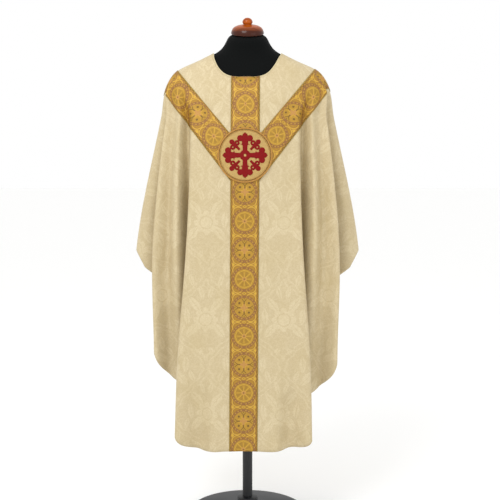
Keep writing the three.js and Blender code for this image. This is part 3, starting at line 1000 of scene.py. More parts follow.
@dataclass(frozen=True)
class Crease:
    """A soft trough in a panel, from one (distance from the centre plane, height) to another."""

    face: Face
    start: tuple[float, float]
    end: tuple[float, float]
    width: float
    depth: float

    def press(self, points: np.ndarray, normals: np.ndarray) -> np.ndarray:
        """How far in the crease presses the cloth.

        Args:
            points: places on the cloth.
            normals: the cloth's normals there.

        Returns:
            A depth for each point.
        """
        run = np.array(self.end) - self.start
        length = np.hypot(*run)
        x, z = points[..., 0] - self.start[0], points[..., 2] - self.start[1]
        share = (x * run[0] + z * run[1]) / length ** 2
        off = (x * run[1] - z * run[0]) / length
        ends = smooth(share / CREASE_RISE) * smooth((CREASE_END - share) / CREASE_FALL)
        facing = np.clip(normals[..., 1] * self.face.value, 0, 1)
        return self.depth * np.exp(-(off / self.width) ** 2) * ends * facing


CREASES = (
    Crease(Face.FRONT, (-196, 1262), (-240, 1020), 16, 4.0),
    Crease(Face.FRONT, (-216, 1100), (-262, 800), 14, 3.4),
    Crease(Face.FRONT, (-179, 1193), (-190, 905), 9, 2.6),
    Crease(Face.FRONT, (-181, 900), (-204, 640), 10, 2.2),
    Crease(Face.FRONT, (-268, 1120), (-300, 930), 10, 2.6),
    Crease(Face.FRONT, (-120, 1010), (-102, 700), 26, 2.4),
    Crease(Face.FRONT, (-138, 500), (-150, 250), 30, 14.0),
    Crease(Face.FRONT, (-84, 390), (-80, 250), 18, 3.6),
    Crease(Face.FRONT, (202, 1250), (236, 1030), 15, 3.6),
    Crease(Face.FRONT, (226, 1080), (268, 790), 15, 3.2),
    Crease(Face.FRONT, (180, 1176), (194, 900), 10, 2.6),
    Crease(Face.FRONT, (186, 860), (206, 610), 10, 2.0),
    Crease(Face.FRONT, (262, 1130), (306, 940), 10, 2.6),
    Crease(Face.FRONT, (114, 940), (98, 640), 24, 2.2),
    Crease(Face.FRONT, (130, 470), (140, 250), 28, 13.0),
    Crease(Face.FRONT, (76, 410), (70, 250), 18, 3.2),
    Crease(Face.BACK, (-192, 1240), (-236, 980), 16, 3.6),
    Crease(Face.BACK, (-214, 1080), (-250, 820), 14, 3.0),
    Crease(Face.BACK, (-264, 1120), (-300, 930), 10, 2.4),
    Crease(Face.BACK, (-122, 900), (-104, 600), 26, 2.4),
    Crease(Face.BACK, (-148, 510), (-156, 240), 30, 6.6),
    Crease(Face.BACK, (-90, 420), (-84, 240), 20, 3.4),
    Crease(Face.BACK, (198, 1250), (240, 1000), 16, 3.4),
    Crease(Face.BACK, (222, 1050), (262, 800), 13, 2.8),
    Crease(Face.BACK, (266, 1110), (302, 920), 10, 2.4),
    Crease(Face.BACK, (116, 1000), (100, 720), 24, 2.2),
    Crease(Face.BACK, (142, 480), (150, 240), 30, 6.0),
    Crease(Face.BACK, (84, 380), (88, 240), 20, 3.6),
)


@dataclass(frozen=True)
class Neckline:
    """A neckline: lowest height, depth, squareness seen from above, and how late it rises."""

    low: float
    depth: float
    squareness: float
    rise: float


@dataclass(frozen=True)
class Section:
    """A level section of the cloth on the shoulders: its height, half width, front and back depth."""

    z: float
    half: float
    front: float
    back: float


@dataclass(frozen=True)
class Place:
    """One line of the cloth: its panel, its side (1 is the wearer's left) and how many folds out it runs."""

    face: Face
    side: int
    out: float

    def fold(self, k: int) -> tuple["Place", Fold]:
        """A fold line of this quarter.

        Args:
            k: its number, counted on past the centre and past the seam.

        Returns:
            Its place and its row of the table.
        """
        if k < 0:
            return Place(self.face, -self.side, -k), FOLDS[self.face][-k]
        if k > SEAM:
            return Place(self.face.other, self.side, 2 * SEAM - k), FOLDS[self.face.other][2 * SEAM - k]
        return Place(self.face, self.side, k), FOLDS[self.face][k]


@dataclass
class Drape:
    """The whole cloth as a ring of lines that run from the neckline to the hem, in millimetres.

    sections hold the cloth on the shoulders, and level_z are the heights of the folds' levels below them.
    upper_edge and lower_edge are the diagonal orphreys' edges: the height on the centre plane, and what it
    climbs per millimetre to the side. even_side and even_height say beyond which distance and above which
    height the shoulders are evened out, each with its blur.
    """

    neck_half: float = 107.0
    neck_side: float = 1492.0
    yoke_z: float = 1400.0
    crease_top: float = 1445.0
    hem_z: float = 262.0
    level_z: tuple[float, ...] = (1290.0, 880.0, 560.0, 262.0)
    sections: tuple[Section, ...] = (
        Section(1492, 107, 62, 76), Section(1470, 152, 71, 92), Section(1442, 213, 81, 109),
        Section(1411, 243, 96, 122), Section(1400, 249, 102, 126))
    section_clearance: float = 8.0
    squareness: float = 2.3
    fold_roundness: float = 0.65
    neck_sway: float = -6.0
    hem_sway: float = -13.0
    upper_edge: tuple[float, float] = (1190.0, 1.175)
    lower_edge: tuple[float, float] = (1045.0, 1.277)
    edge_search: float = 40.0
    halvings: int = 30
    rows: tuple[int, int, int] = (14, 14, 96)
    samples: int = 80
    even_rounds: int = 6
    even_side: tuple[float, float] = (58.0, 12.0)
    even_height: tuple[float, float] = (1385.0, 30.0)
    even_share: float = 0.5
    necklines: dict[Face, Neckline] = field(default_factory=lambda: {
        Face.FRONT: Neckline(1415, 92, 3, 4), Face.BACK: Neckline(1478, 85, 2.4, 2)})

    def __post_init__(self) -> None:
        """Lays out every line of the cloth."""
        left, right = Place(Face.FRONT, 1, SEAM), Place(Face.FRONT, -1, SEAM)
        self.places = [
            *self.quarter(Face.FRONT, 1), left, *self.quarter(Face.BACK, 1)[::-1],
            *self.quarter(Face.BACK, -1)[1:], right, *self.quarter(Face.FRONT, -1)[1:][::-1]]
        self.points = self.even_yoke(np.stack([self.column(place) for place in self.places]))
        normals = self.normals()
        self.points -= normals * sum(crease.press(self.points, normals) for crease in CREASES)[..., None]
        self.normal = self.normals()
        self.index = {(p.face, p.side, p.out): k for k, p in enumerate(self.places)}
        for side in (1, -1):
            self.index[Face.BACK, side, SEAM] = self.index[Face.FRONT, side, SEAM]
        for face in Face:
            self.index[face, -1, 0] = self.index[face, 1, 0]

    @property
    def bottom(self) -> int:
        """The hem's row."""
        return sum(self.rows)

    @property
    def diagonal(self) -> tuple[int, int]:
        """The rows of the diagonal orphreys' upper and lower edge."""
        return self.rows[0], self.rows[0] + self.rows[1]

    @staticmethod
    def quarter(face: Face, side: int) -> list[Place]:
        """The places of one quarter's lines, from the centre up to the seam."""
        return [Place(face, side, k + j / fold.steps)
                for k, fold in enumerate(FOLDS[face][:-1]) for j in range(fold.steps)]

    def sway(self, z: Number, share: float) -> Number:
        """How far a line with this share of the drift hangs to the wearer's right at height z."""
        low = self.necklines[Face.FRONT].low
        return share * mix(self.neck_sway, self.hem_sway, (low - z) / (low - self.hem_z))

    @staticmethod
    def angle(x: float, half: float, squareness: float) -> float:
        """Angle round a section of this half width whose point lies at distance x from the centre."""
        return math.asin(min(1.0, x / half) ** (squareness / 2))

    @staticmethod
    def section_point(half: float, depth: float, squareness: float, angle: float) -> tuple[float, float]:
        """The point at an angle round a section of this half width and depth."""
        power = 2 / squareness
        return half * math.sin(angle) ** power, depth * max(0.0, math.cos(angle)) ** power

    def half_at(self, z: float) -> float:
        """Half width of the cloth on the shoulders at height z."""
        return float(curve_at([s.z for s in self.sections], [s.half for s in self.sections], z))

    def rounded(self, four: Sequence[np.ndarray], t: float) -> np.ndarray:
        """A point between two fold lines, on a line that rounds sharp folds.

        Args:
            four: the places of the two fold lines and of one more on each side.
            t: share of the way between the middle two.

        Returns:
            The point.
        """
        a, b, c, d = four

        def tangent(p: np.ndarray, q: np.ndarray, r: np.ndarray) -> np.ndarray:
            """The line's direction at a fold, as long as the fold there is round.

            Args:
                p: the fold before.
                q: the fold.
                r: the fold after.

            Returns:
                The direction.
            """
            toward = unit(q - p) + unit(r - q)
            share = (np.linalg.norm(toward) / 2) ** 4
            span = self.fold_roundness * (np.linalg.norm(p - q) + np.linalg.norm(q - r)) / 2
            return unit(toward) * mix(span, np.linalg.norm(b - c), share)

        return hermite(t, b, c, tangent(a, b, c), tangent(b, c, d))

    def line(self, place: Place) -> tuple[Callable[[Number], np.ndarray], float, float, float]:
        """One line of the cloth.

        Args:
            place: where it runs.

        Returns:
            Its points as a function of height, its top, its hem, and its climb at the diagonal orphrey.
        """
        k = min(int(place.out), SEAM - 1)
        t = place.out - k
        rows = [place.fold(k + n) for n in (-1, 0, 1, 2)]
        here, after = rows[1][1], rows[2][1]
        face, side = place.face, place.side
        neck = self.necklines[face]

        def blended(name: str, half: float, squareness: float) -> float:
            """Angle of this line, between those of its two fold lines."""
            return mix(self.angle(getattr(here, name), half, squareness),
                       self.angle(getattr(after, name), half, squareness), t)

        neck_x, neck_y = self.section_point(
            self.neck_half, neck.depth, neck.squareness, blended("neck", self.neck_half, neck.squareness))
        top = mix(neck.low, self.neck_side, (neck_x / self.neck_half) ** neck.rise)
        sway = mix(here.sway, after.sway, t)
        knots = [(top, side * neck_x + self.sway(top, sway), face.value * neck_y)]
        top_angle = self.angle(neck_x, self.half_at(top), self.squareness)
        yoke_angle = blended("yoke", self.half_at(self.yoke_z), self.squareness)
        out, forward = mix(np.array(here.crease, float), np.array(after.crease, float), smooth(t))
        straight = 1 - smooth((place.out - BAND_EDGE) / 2)
        for section in self.sections:
            z = section.z
            if z > top - self.section_clearance:
                continue
            share = (top - z) / (top - self.yoke_z)
            straight_x = mix(neck_x, mix(here.yoke, after.yoke, t), share)
            angle = mix(mix(top_angle, yoke_angle, share),
                        self.angle(straight_x, section.half, self.squareness), straight)
            x, y = self.section_point(section.half, getattr(section, face.word), self.squareness, angle)
            folded = smooth((self.crease_top - z) / (self.crease_top - self.yoke_z))
            knots.append((z, side * (x + folded * out) + self.sway(z, sway),
                          face.value * (y + folded * forward)))
        for level, z in enumerate(self.level_z):
            four = [np.array([at.side * fold.levels[level][0] + self.sway(z, fold.sway),
                              at.face.value * fold.levels[level][1]]) for at, fold in rows]
            knots.append((z, *self.rounded(four, t)))
        zs, xs, ys = (np.array(column) for column in zip(*knots))
        a, b, c, d = (fold.end + (fold.rise if at.side < 0 else 0) for at, fold in rows)
        end = b + 0.5 * t * (c - a + t * (2 * a - 5 * b + 4 * c - d + t * (3 * (b - c) + d - a)))

        def at(z: Number) -> np.ndarray:
            """The line's points at these heights."""
            z = np.asarray(z, float)
            return np.stack([curve_at(zs, xs, z), curve_at(zs, ys, z), z], -1)

        return at, top, end, mix(here.climb, after.climb, t)

    def crossing(self, at: Callable[[Number], np.ndarray], top: float, edge: tuple[float, float],
                 climb: float = 0) -> float:
        """Height at which a line crosses an edge of the diagonal orphreys.

        Args:
            at: the line's points as a function of height.
            top: the line's top.
            edge: the edge's height on the centre plane, and what it climbs per millimetre to the side.
            climb: what the edge is raised by at this line.

        Returns:
            The height.
        """
        low, high = edge[0] - self.edge_search, top
        for _ in range(self.halvings):
            middle = (low + high) / 2
            x = at(middle)[0]
            if middle > edge[0] + climb + edge[1] * abs(x - self.sway(middle, 1)):
                high = middle
            else:
                low = middle
        return (low + high) / 2

    def column(self, place: Place) -> np.ndarray:
        """One line's points in space.

        Args:
            place: where it runs.

        Returns:
            A point for each row of the mesh.
        """
        at, top, end, climb = self.line(place)
        heights = [top, self.crossing(at, top, self.upper_edge),
                   self.crossing(at, top, self.lower_edge, climb), end]
        rows = []
        for k, count in enumerate(self.rows):
            z = np.linspace(heights[k], heights[k + 1], self.samples)
            along = along_path(at(z))
            rows.append(np.interp(np.linspace(0, along[-1], count + 1), along, z)[(1 if k else 0):])
        return at(np.concatenate(rows))

    def even_yoke(self, points: np.ndarray) -> np.ndarray:
        """Evens out the points between neighbouring lines on the shoulders, below the neckline.

        Args:
            points: the grid's points.

        Returns:
            The evened points.
        """
        side, side_blur = self.even_side
        height, height_blur = self.even_height
        for _ in range(self.even_rounds):
            between = (np.roll(points, 1, 0) + np.roll(points, -1, 0)) / 2
            share = (self.even_share * smooth((np.abs(points[..., 0]) - side) / side_blur)
                     * smooth((points[..., 2] - height) / height_blur))
            share[:, 0] = 0
            points = mix(points, between, share[..., None])
        return points

    def normals(self) -> np.ndarray:
        """Outward normals of the cloth at every grid point."""
        across = np.roll(self.points, -1, 0) - np.roll(self.points, 1, 0)
        return unit(np.cross(np.gradient(self.points, axis=1), across))

    def columns(self, first: int, last: int) -> np.ndarray:
        """The columns from first to last, round the ring."""
        return (first + np.arange((last - first) % len(self.places) + 1)) % len(self.places)

    def piece(self, first: int, last: int, rows: tuple[int, int], lift: float,
              trims: tuple[float, float] = (0.0, 0.0)) -> np.ndarray:
        """A patch of the cloth's grid.

        Args:
            first: its first column.
            last: its last column, which may be past the end of the ring.
            rows: its first and its last row.
            lift: how far it lies outside the cloth.
            trims: how far each end column is drawn in.

        Returns:
            Its points.
        """
        patch = np.ix_(self.columns(first, last), np.arange(rows[0], rows[1] + 1))
        block = self.points[patch] + lift * self.normal[patch]
        for end, inner, trim in ((0, 1, trims[0]), (-1, -2, trims[1])):
            block[end] += unit(block[inner] - block[end]) * trim
        return block

    def near_edge(self, distance: float, hem: bool = True) -> tuple[np.ndarray, np.ndarray]:
        """A ring round the cloth near one of its edges.

        Args:
            distance: how far it lies from the edge.
            hem: whether the edge is the hem, or else the neckline.

        Returns:
            The ring's points and the cloth's normals there.
        """
        step = -1 if hem else 1
        rings = [(sample(distance, along_path(line), line), sample(distance, along_path(line), normals))
                 for line, normals in zip(self.points[:, ::step], self.normal[:, ::step])]
        points, normals = (np.array(ring) for ring in zip(*rings))
        return points, unit(normals)


@dataclass
class FrontPlane:
    """The front of the cloth near the emblem, as a depth over X and Z, for pieces that lie on it."""

    drape: Drape
    folds: int = 3
    top: float = 1300.0
    bottom: float = 1060.0
    levels: int = 61
    step: float = 4.0

    def __post_init__(self) -> None:
        """Gathers the grid's points near the emblem."""
        index = self.drape.index
        ends = index[Face.FRONT, -1, self.folds], index[Face.FRONT, 1, self.folds]
        heights = np.linspace(self.top, self.bottom, self.levels)
        level = np.stack([sample(-heights, -column[:, 2], column)
                          for column in self.drape.points[self.drape.columns(*ends)]], 1)
        self.xs, self.ys = level[..., 0], level[..., 1]

    def depth(self, x: np.ndarray, z: np.ndarray) -> np.ndarray:
        """Y of the cloth at these places.

        Args:
            x: their X.
            z: their heights.

        Returns:
            Y at each of them.
        """
        row = np.clip((self.top - z) / (self.top - self.bottom), 0, 1) * (self.levels - 1)
        low = np.minimum(row.astype(int), self.levels - 2)
        out = np.empty(len(x))
        for level in np.unique(low):
            chosen = low == level
            near, far = (np.interp(x[chosen], self.xs[k], self.ys[k]) for k in (level, level + 1))
            out[chosen] = mix(near, far, (row - low)[chosen])
        return out

    def lay(self, x: np.ndarray, z: np.ndarray, lift: np.ndarray) -> np.ndarray:
        """Points lifted off the cloth along its normal.

        Args:
            x: X of the cloth below them.
            z: its height.
            lift: how far each one is lifted.

        Returns:
            The points in millimetres.
        """
        e = self.step
        slope_x = (self.depth(x + e, z) - self.depth(x - e, z)) / (2 * e)
        slope_z = (self.depth(x, z + e) - self.depth(x, z - e)) / (2 * e)
        normal = unit(np.stack([slope_x, -np.ones(len(x)), slope_z], -1))
        return np.stack([x, self.depth(x, z), z], -1) + normal * np.asarray(lift)[:, None]


@dataclass
class Sewing:
    """Rows of stitches: each one a small raised lozenge of thread.

    corners are shares of a stitch's half length, half width and height, and faces join them. Its direction
    is the line's over a step to both sides.
    """

    pitch: float = 4.2
    length: float = 3.1
    width: float = 0.8
    rise: float = 0.45
    step: float = 0.4
    corners: tuple[tuple[float, ...], ...] = (
        (-1, 0, -0.2), (-0.6, -1, 0.05), (-0.6, 1, 0.05), (-0.4, 0, 1),
        (0.4, 0, 1), (0.6, -1, 0.05), (0.6, 1, 0.05), (1, 0, -0.2))
    faces: tuple[tuple[int, ...], ...] = (
        (0, 2, 3), (0, 3, 1), (0, 1, 2), (1, 3, 4), (1, 4, 5), (3, 2, 6), (3, 6, 4), (2, 1, 5),
        (2, 5, 6), (7, 4, 6), (7, 5, 4), (7, 6, 5))

    def row(self, points: np.ndarray, normals: np.ndarray) -> np.ndarray:
        """The stitches of one row.

        Args:
            points: the line it runs along, in millimetres.
            normals: the cloth's normals there.

        Returns:
            The corners of its stitches, count by 8 by 3.
        """
        along = along_path(points)
        count = max(2, int(along[-1] / self.pitch))
        middles = (np.arange(count) + 0.5) * along[-1] / count
        middle, normal = sample(middles, along, points), unit(sample(middles, along, normals))
        before, after = (sample(middles + step, along, points) for step in (-self.step, self.step))
        tangent = unit(after - before)
        side = np.cross(tangent, normal)
        return np.stack([middle + tangent * (a * self.length / 2) + side * (b * self.width / 2)
                         + normal * (h * self.rise) for a, b, h in self.corners], 1)

    def build(self, name: str, rows: Sequence[tuple[np.ndarray, np.ndarray]]) -> bpy.types.Object:
        """Makes one mesh of several rows of stitches.

        Args:
            name: the piece's name.
            rows: the points and the cloth's normals of each row.

        Returns:
            The new object.
        """
        corners = np.concatenate([self.row(points, normals) for points, normals in rows])
        first = np.arange(len(corners))[:, None, None] * len(self.corners)
        obj = quad_mesh(name, corners.reshape(-1, 3), (first + np.array(self.faces)).reshape(-1, 3))
        open_edit(obj)
        bpy.ops.mesh.normals_make_consistent(inside=False)
        close_edit()
        return obj


@dataclass
class Cordage:
    """Round cord laid along a closed line of points, in millimetres."""

    radius: float
    sides: int = 8

    def tube(self, name: str, points: np.ndarray, up: tuple[float, float, float]) -> bpy.types.Object:
        """A closed tube round a ring of points.

        Args:
            name: the piece's name.
            points: the ring, without a repeat of its first point.
            up: the direction across the ring to start each section from.

        Returns:
            The tube.
        """
        tangent = unit(np.roll(points, -1, 0) - np.roll(points, 1, 0))
        side = unit(np.cross(tangent, up))
        rise = np.cross(side, tangent)
        turn = np.linspace(0, TURN, self.sides, endpoint=False)[None, :, None]
        return ring_mesh(name, points[:, None] + self.radius * (
            np.cos(turn) * side[:, None] + np.sin(turn) * rise[:, None]))


@dataclass
class Chasuble:
    """The garment: two panels, six orphreys, neck binding, hem facing and stitches."""

    wardrobe: Wardrobe
    drape: Drape
    wall: float = 1.2
    seam_gap: float = 0.3
    band_wall: float = 1.2
    band_half: float = 44.0
    hem_turn: float = 14.0
    facing_edge: float = 0.4
    facing_gap: float = 0.1
    facing_share: float = 0.8
    binding: float = 1.5
    hem_stitch: float = 2.0
    neck_stitch: float = 5.0
    band_stitch: float = 1.6
    band_stitch_end: float = 1.0
    flat: tuple[float, float] = (1.60, 1.29)
    flat_area: float = 1.578
    unwrap_rounds: int = 40
    sewing: Sewing = field(default_factory=Sewing)
    cream_thread: Thread = Thread("cream_thread", "d9cdaa", "b9a878")
    gold_thread: Thread = Thread("gold_thread", "dcb85a", "9c7430", 0.2, 0.5)

    def __post_init__(self) -> None:
        """Makes the threads."""
        self.cream, self.gold = self.cream_thread.build(), self.gold_thread.build()

    def ends(self, face: Face, k: int) -> tuple[int, int]:
        """First and last column of a panel between its fold lines k on both sides."""
        ends = self.drape.index[face, -1, k], self.drape.index[face, 1, k]
        return ends if face is Face.FRONT else ends[::-1]

    def diagonal_ends(self, face: Face, side: int) -> tuple[int, int, bool]:
        """The columns of one diagonal orphrey.

        Args:
            face: its panel.
            side: its side, 1 for the wearer's left.

        Returns:
            Its first and last column, and whether it starts at the centre band.
        """
        ends = self.drape.index[face, side, BAND_EDGE], self.drape.index[face, side, SEAM]
        outward = (face is Face.FRONT) == (side > 0)
        return (*(ends if outward else ends[::-1]), outward)

    def flatten(self, points: np.ndarray) -> np.ndarray:
        """The places of a panel's points on its flat pattern, in metres.

        Every second line and row is unwrapped with the least stretch, then turned and scaled so that the
        centre line runs down the pattern at its real length.

        Args:
            points: the panel's grid, in millimetres.

        Returns:
            Across and along at each grid point.
        """
        coarse = points[::2, ::2]
        places = self.unwrap(coarse)
        middle = places[len(places) // 2]
        down = middle[-1] - middle[0]
        scale = along_path(coarse[len(coarse) // 2])[-1] / np.linalg.norm(down)
        axis = unit(down)
        turned = (places - middle[0]) @ np.array([[axis[1], axis[0]], [-axis[0], axis[1]]]) * scale
        if turned[-1, -1, 0] < turned[0, -1, 0]:
            turned[..., 0] *= -1
        columns, rows = (np.arange(count) / 2 for count in points.shape[:2])
        lines = np.stack([sample(rows, np.arange(turned.shape[1]), line) for line in turned])
        return np.stack([sample(columns, np.arange(len(turned)), lines[:, k])
                         for k in range(lines.shape[1])], 1) * MM

    def unwrap(self, points: np.ndarray) -> np.ndarray:
        """Unwraps a grid of points with the least stretch.

        Args:
            points: the grid, in millimetres.

        Returns:
            Each point's place on the map.
        """
        obj = sheet_mesh("unwrap", points, np.zeros((*points.shape[:2], 2)))
        open_edit(obj)
        bpy.ops.uv.unwrap(method="MINIMUM_STRETCH", iterations=self.unwrap_rounds, margin=0.0)
        close_edit()
        corners = corner_points(obj)
        corner_places = np.empty(len(corners) * 2)
        obj.data.uv_layers.active.data.foreach_get("uv", corner_places)
        places = np.empty((len(obj.data.vertices), 2))
        places[corners] = corner_places.reshape(-1, 2)
        bpy.data.objects.remove(obj)
        return places.reshape(*points.shape[:2], 2)

    def panel(self, face: Face) -> tuple[bpy.types.Object, np.ndarray]:
        """One damask panel.

        Args:
            face: which panel.

        Returns:
            The panel with its thickness, and its flat pattern.
        """
        gap = self.seam_gap / 2
        points = self.drape.piece(*self.ends(face, SEAM), (0, self.drape.bottom), 0, (gap, gap))
        pattern = self.flatten(points)
        obj = sheet_mesh(f"{face.word}_cloth", points, pattern)
        bake_modifier(obj, "SOLIDIFY", thickness=self.wall * MM, offset=-1.0)
        return self.wardrobe.dress(obj, Slot.DAMASK, [f"{face.word}_panel"]), pattern

    def centre_band(self, face: Face, pattern: np.ndarray) -> bpy.types.Object:
        """The straight orphrey down the middle of a panel.

        Args:
            face: which panel.
            pattern: the panel's flat pattern.

        Returns:
            The orphrey.
        """
        points = self.drape.piece(*self.ends(face, BAND_EDGE), (0, self.drape.bottom), self.seam_gap)
        reach, middle = len(points) // 2, len(pattern) // 2
        along = pattern[middle - reach:middle + reach + 1, :, 1]
        across = np.linspace(-self.band_half, self.band_half, len(points))[:, None] * MM
        return self.band(f"{face.word}_orphrey", points, across, along, f"orphrey_{face.word}_centre")

    def diagonal_band(self, face: Face, side: int, pattern: np.ndarray) -> bpy.types.Object:
        """The diagonal orphrey from the middle of a panel over one shoulder.

        Args:
            face: which panel.
            side: its side, 1 for the wearer's left.
            pattern: the panel's flat pattern.

        Returns:
            The orphrey.
        """
        top, bottom = self.drape.diagonal
        first, last, outward = self.diagonal_ends(face, side)
        gaps = (self.seam_gap, self.seam_gap / 2)
        points = self.drape.piece(first, last, (top, bottom), self.seam_gap, gaps if outward else gaps[::-1])
        columns = slice(-len(points), None) if outward else slice(len(points))
        flat = pattern[columns, top:bottom + 1]
        centre = flat[:, flat.shape[1] // 2]
        along = flat @ unit(centre[-1] - centre[0]) * (1 if outward else -1)
        across = np.linspace(-self.band_half, self.band_half, points.shape[1])[None] * MM
        name = "left" if side > 0 else "right"
        return self.band(f"{face.word}_{name}_orphrey", points, across, along, f"orphrey_{face.word}_{name}")

    def band(self, name: str, points: np.ndarray, across: np.ndarray, along: np.ndarray,
             node: str) -> bpy.types.Object:
        """An orphrey of its own thickness.

        Args:
            name: the piece's name.
            points: its grid, in millimetres.
            across: places across the band, in metres.
            along: places along it.
            node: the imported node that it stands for.

        Returns:
            The orphrey.
        """
        obj = sheet_mesh(name, points, np.stack(np.broadcast_arrays(across, along), -1))
        bake_modifier(obj, "SOLIDIFY", thickness=self.band_wall * MM, offset=1.0)
        return self.wardrobe.dress(obj, Slot.ORPHREY, [node])

    def neck_binding(self) -> bpy.types.Object:
        """The rolled edge round the neck opening.

        Returns:
            The binding.
        """
        points = self.drape.points[:, 0] - self.drape.normal[:, 0] * (self.wall / 2)
        obj = Cordage(self.binding).tube("neck_binding", points, (0, 0, 1))
        return self.wardrobe.dress(obj, Slot.DAMASK, finish=self.cream)

    def hem_facing(self) -> bpy.types.Object:
        """The turned-up hem inside the lower edge.

        Returns:
            The facing.
        """
        low = self.wall + self.facing_gap
        high = low + self.wall * self.facing_share
        rings = [self.drape.near_edge(d) for d in (self.facing_edge, self.hem_turn / 2, self.hem_turn)]
        section = [p - n * low for p, n in rings] + [p - n * high for p, n in rings[::-1]]
        obj = ring_mesh("hem_facing", np.stack(section, 1), flip=True)
        settle(obj)
        bpy.ops.object.shade_smooth_by_angle(angle=SHARP_ANGLE)
        return self.wardrobe.dress(obj, Slot.DAMASK, finish=self.cream)

    def band_seams(self, face: Face) -> list[tuple[np.ndarray, np.ndarray]]:
        """The lines of stitches on the orphreys of a panel.

        Args:
            face: which panel.

        Returns:
            The points and the normals of each line.
        """
        lift, inset, end = self.seam_gap + self.band_wall, self.band_stitch, self.band_stitch_end
        first, last = self.ends(face, BAND_EDGE)
        block = self.drape.piece(first, last, (0, self.drape.bottom), lift, (inset, inset))
        lines = [(block[k], self.drape.normal[column]) for k, column in ((0, first), (-1, last))]
        top, bottom = self.drape.diagonal
        for side in (1, -1):
            first, last, _ = self.diagonal_ends(face, side)
            block = self.drape.piece(first, last, (top, bottom), lift, (end, end))
            for row, inner, level in ((0, 1, top), (-1, -2, bottom)):
                lines.append((block[:, row] + unit(block[:, inner] - block[:, row]) * inset,
                              self.drape.normal[self.drape.columns(first, last), level]))
        return lines

    def stitching(self) -> list[bpy.types.Object]:
        """Rows of stitches: along the hem and the neckline, and along both edges of every orphrey.

        Returns:
            The cream and the gold stitches.
        """
        edges = (self.drape.near_edge(self.hem_turn - self.hem_stitch),
                 self.drape.near_edge(self.neck_stitch, hem=False))
        closed = [tuple(np.concatenate([ring, ring[:1]]) for ring in edge) for edge in edges]
        cream = self.sewing.build("cream_stitching", closed)
        self.wardrobe.dress(cream, Slot.DAMASK, finish=self.cream)
        gold = self.sewing.build("gold_stitching", [line for face in Face for line in self.band_seams(face)])
        self.wardrobe.dress(gold, Slot.ORPHREY, finish=self.gold)
        return [cream, gold]

    def build(self) -> None:
        """Makes every piece of the garment."""
        trims = [self.neck_binding(), self.hem_facing(), *self.stitching()]
        for face in Face:
            cloth, pattern = self.panel(face)
            bands = [self.centre_band(face, pattern), self.diagonal_band(face, 1, pattern),
                     self.diagonal_band(face, -1, pattern)]
            bands + (trims if face is Face.FRONT else [])


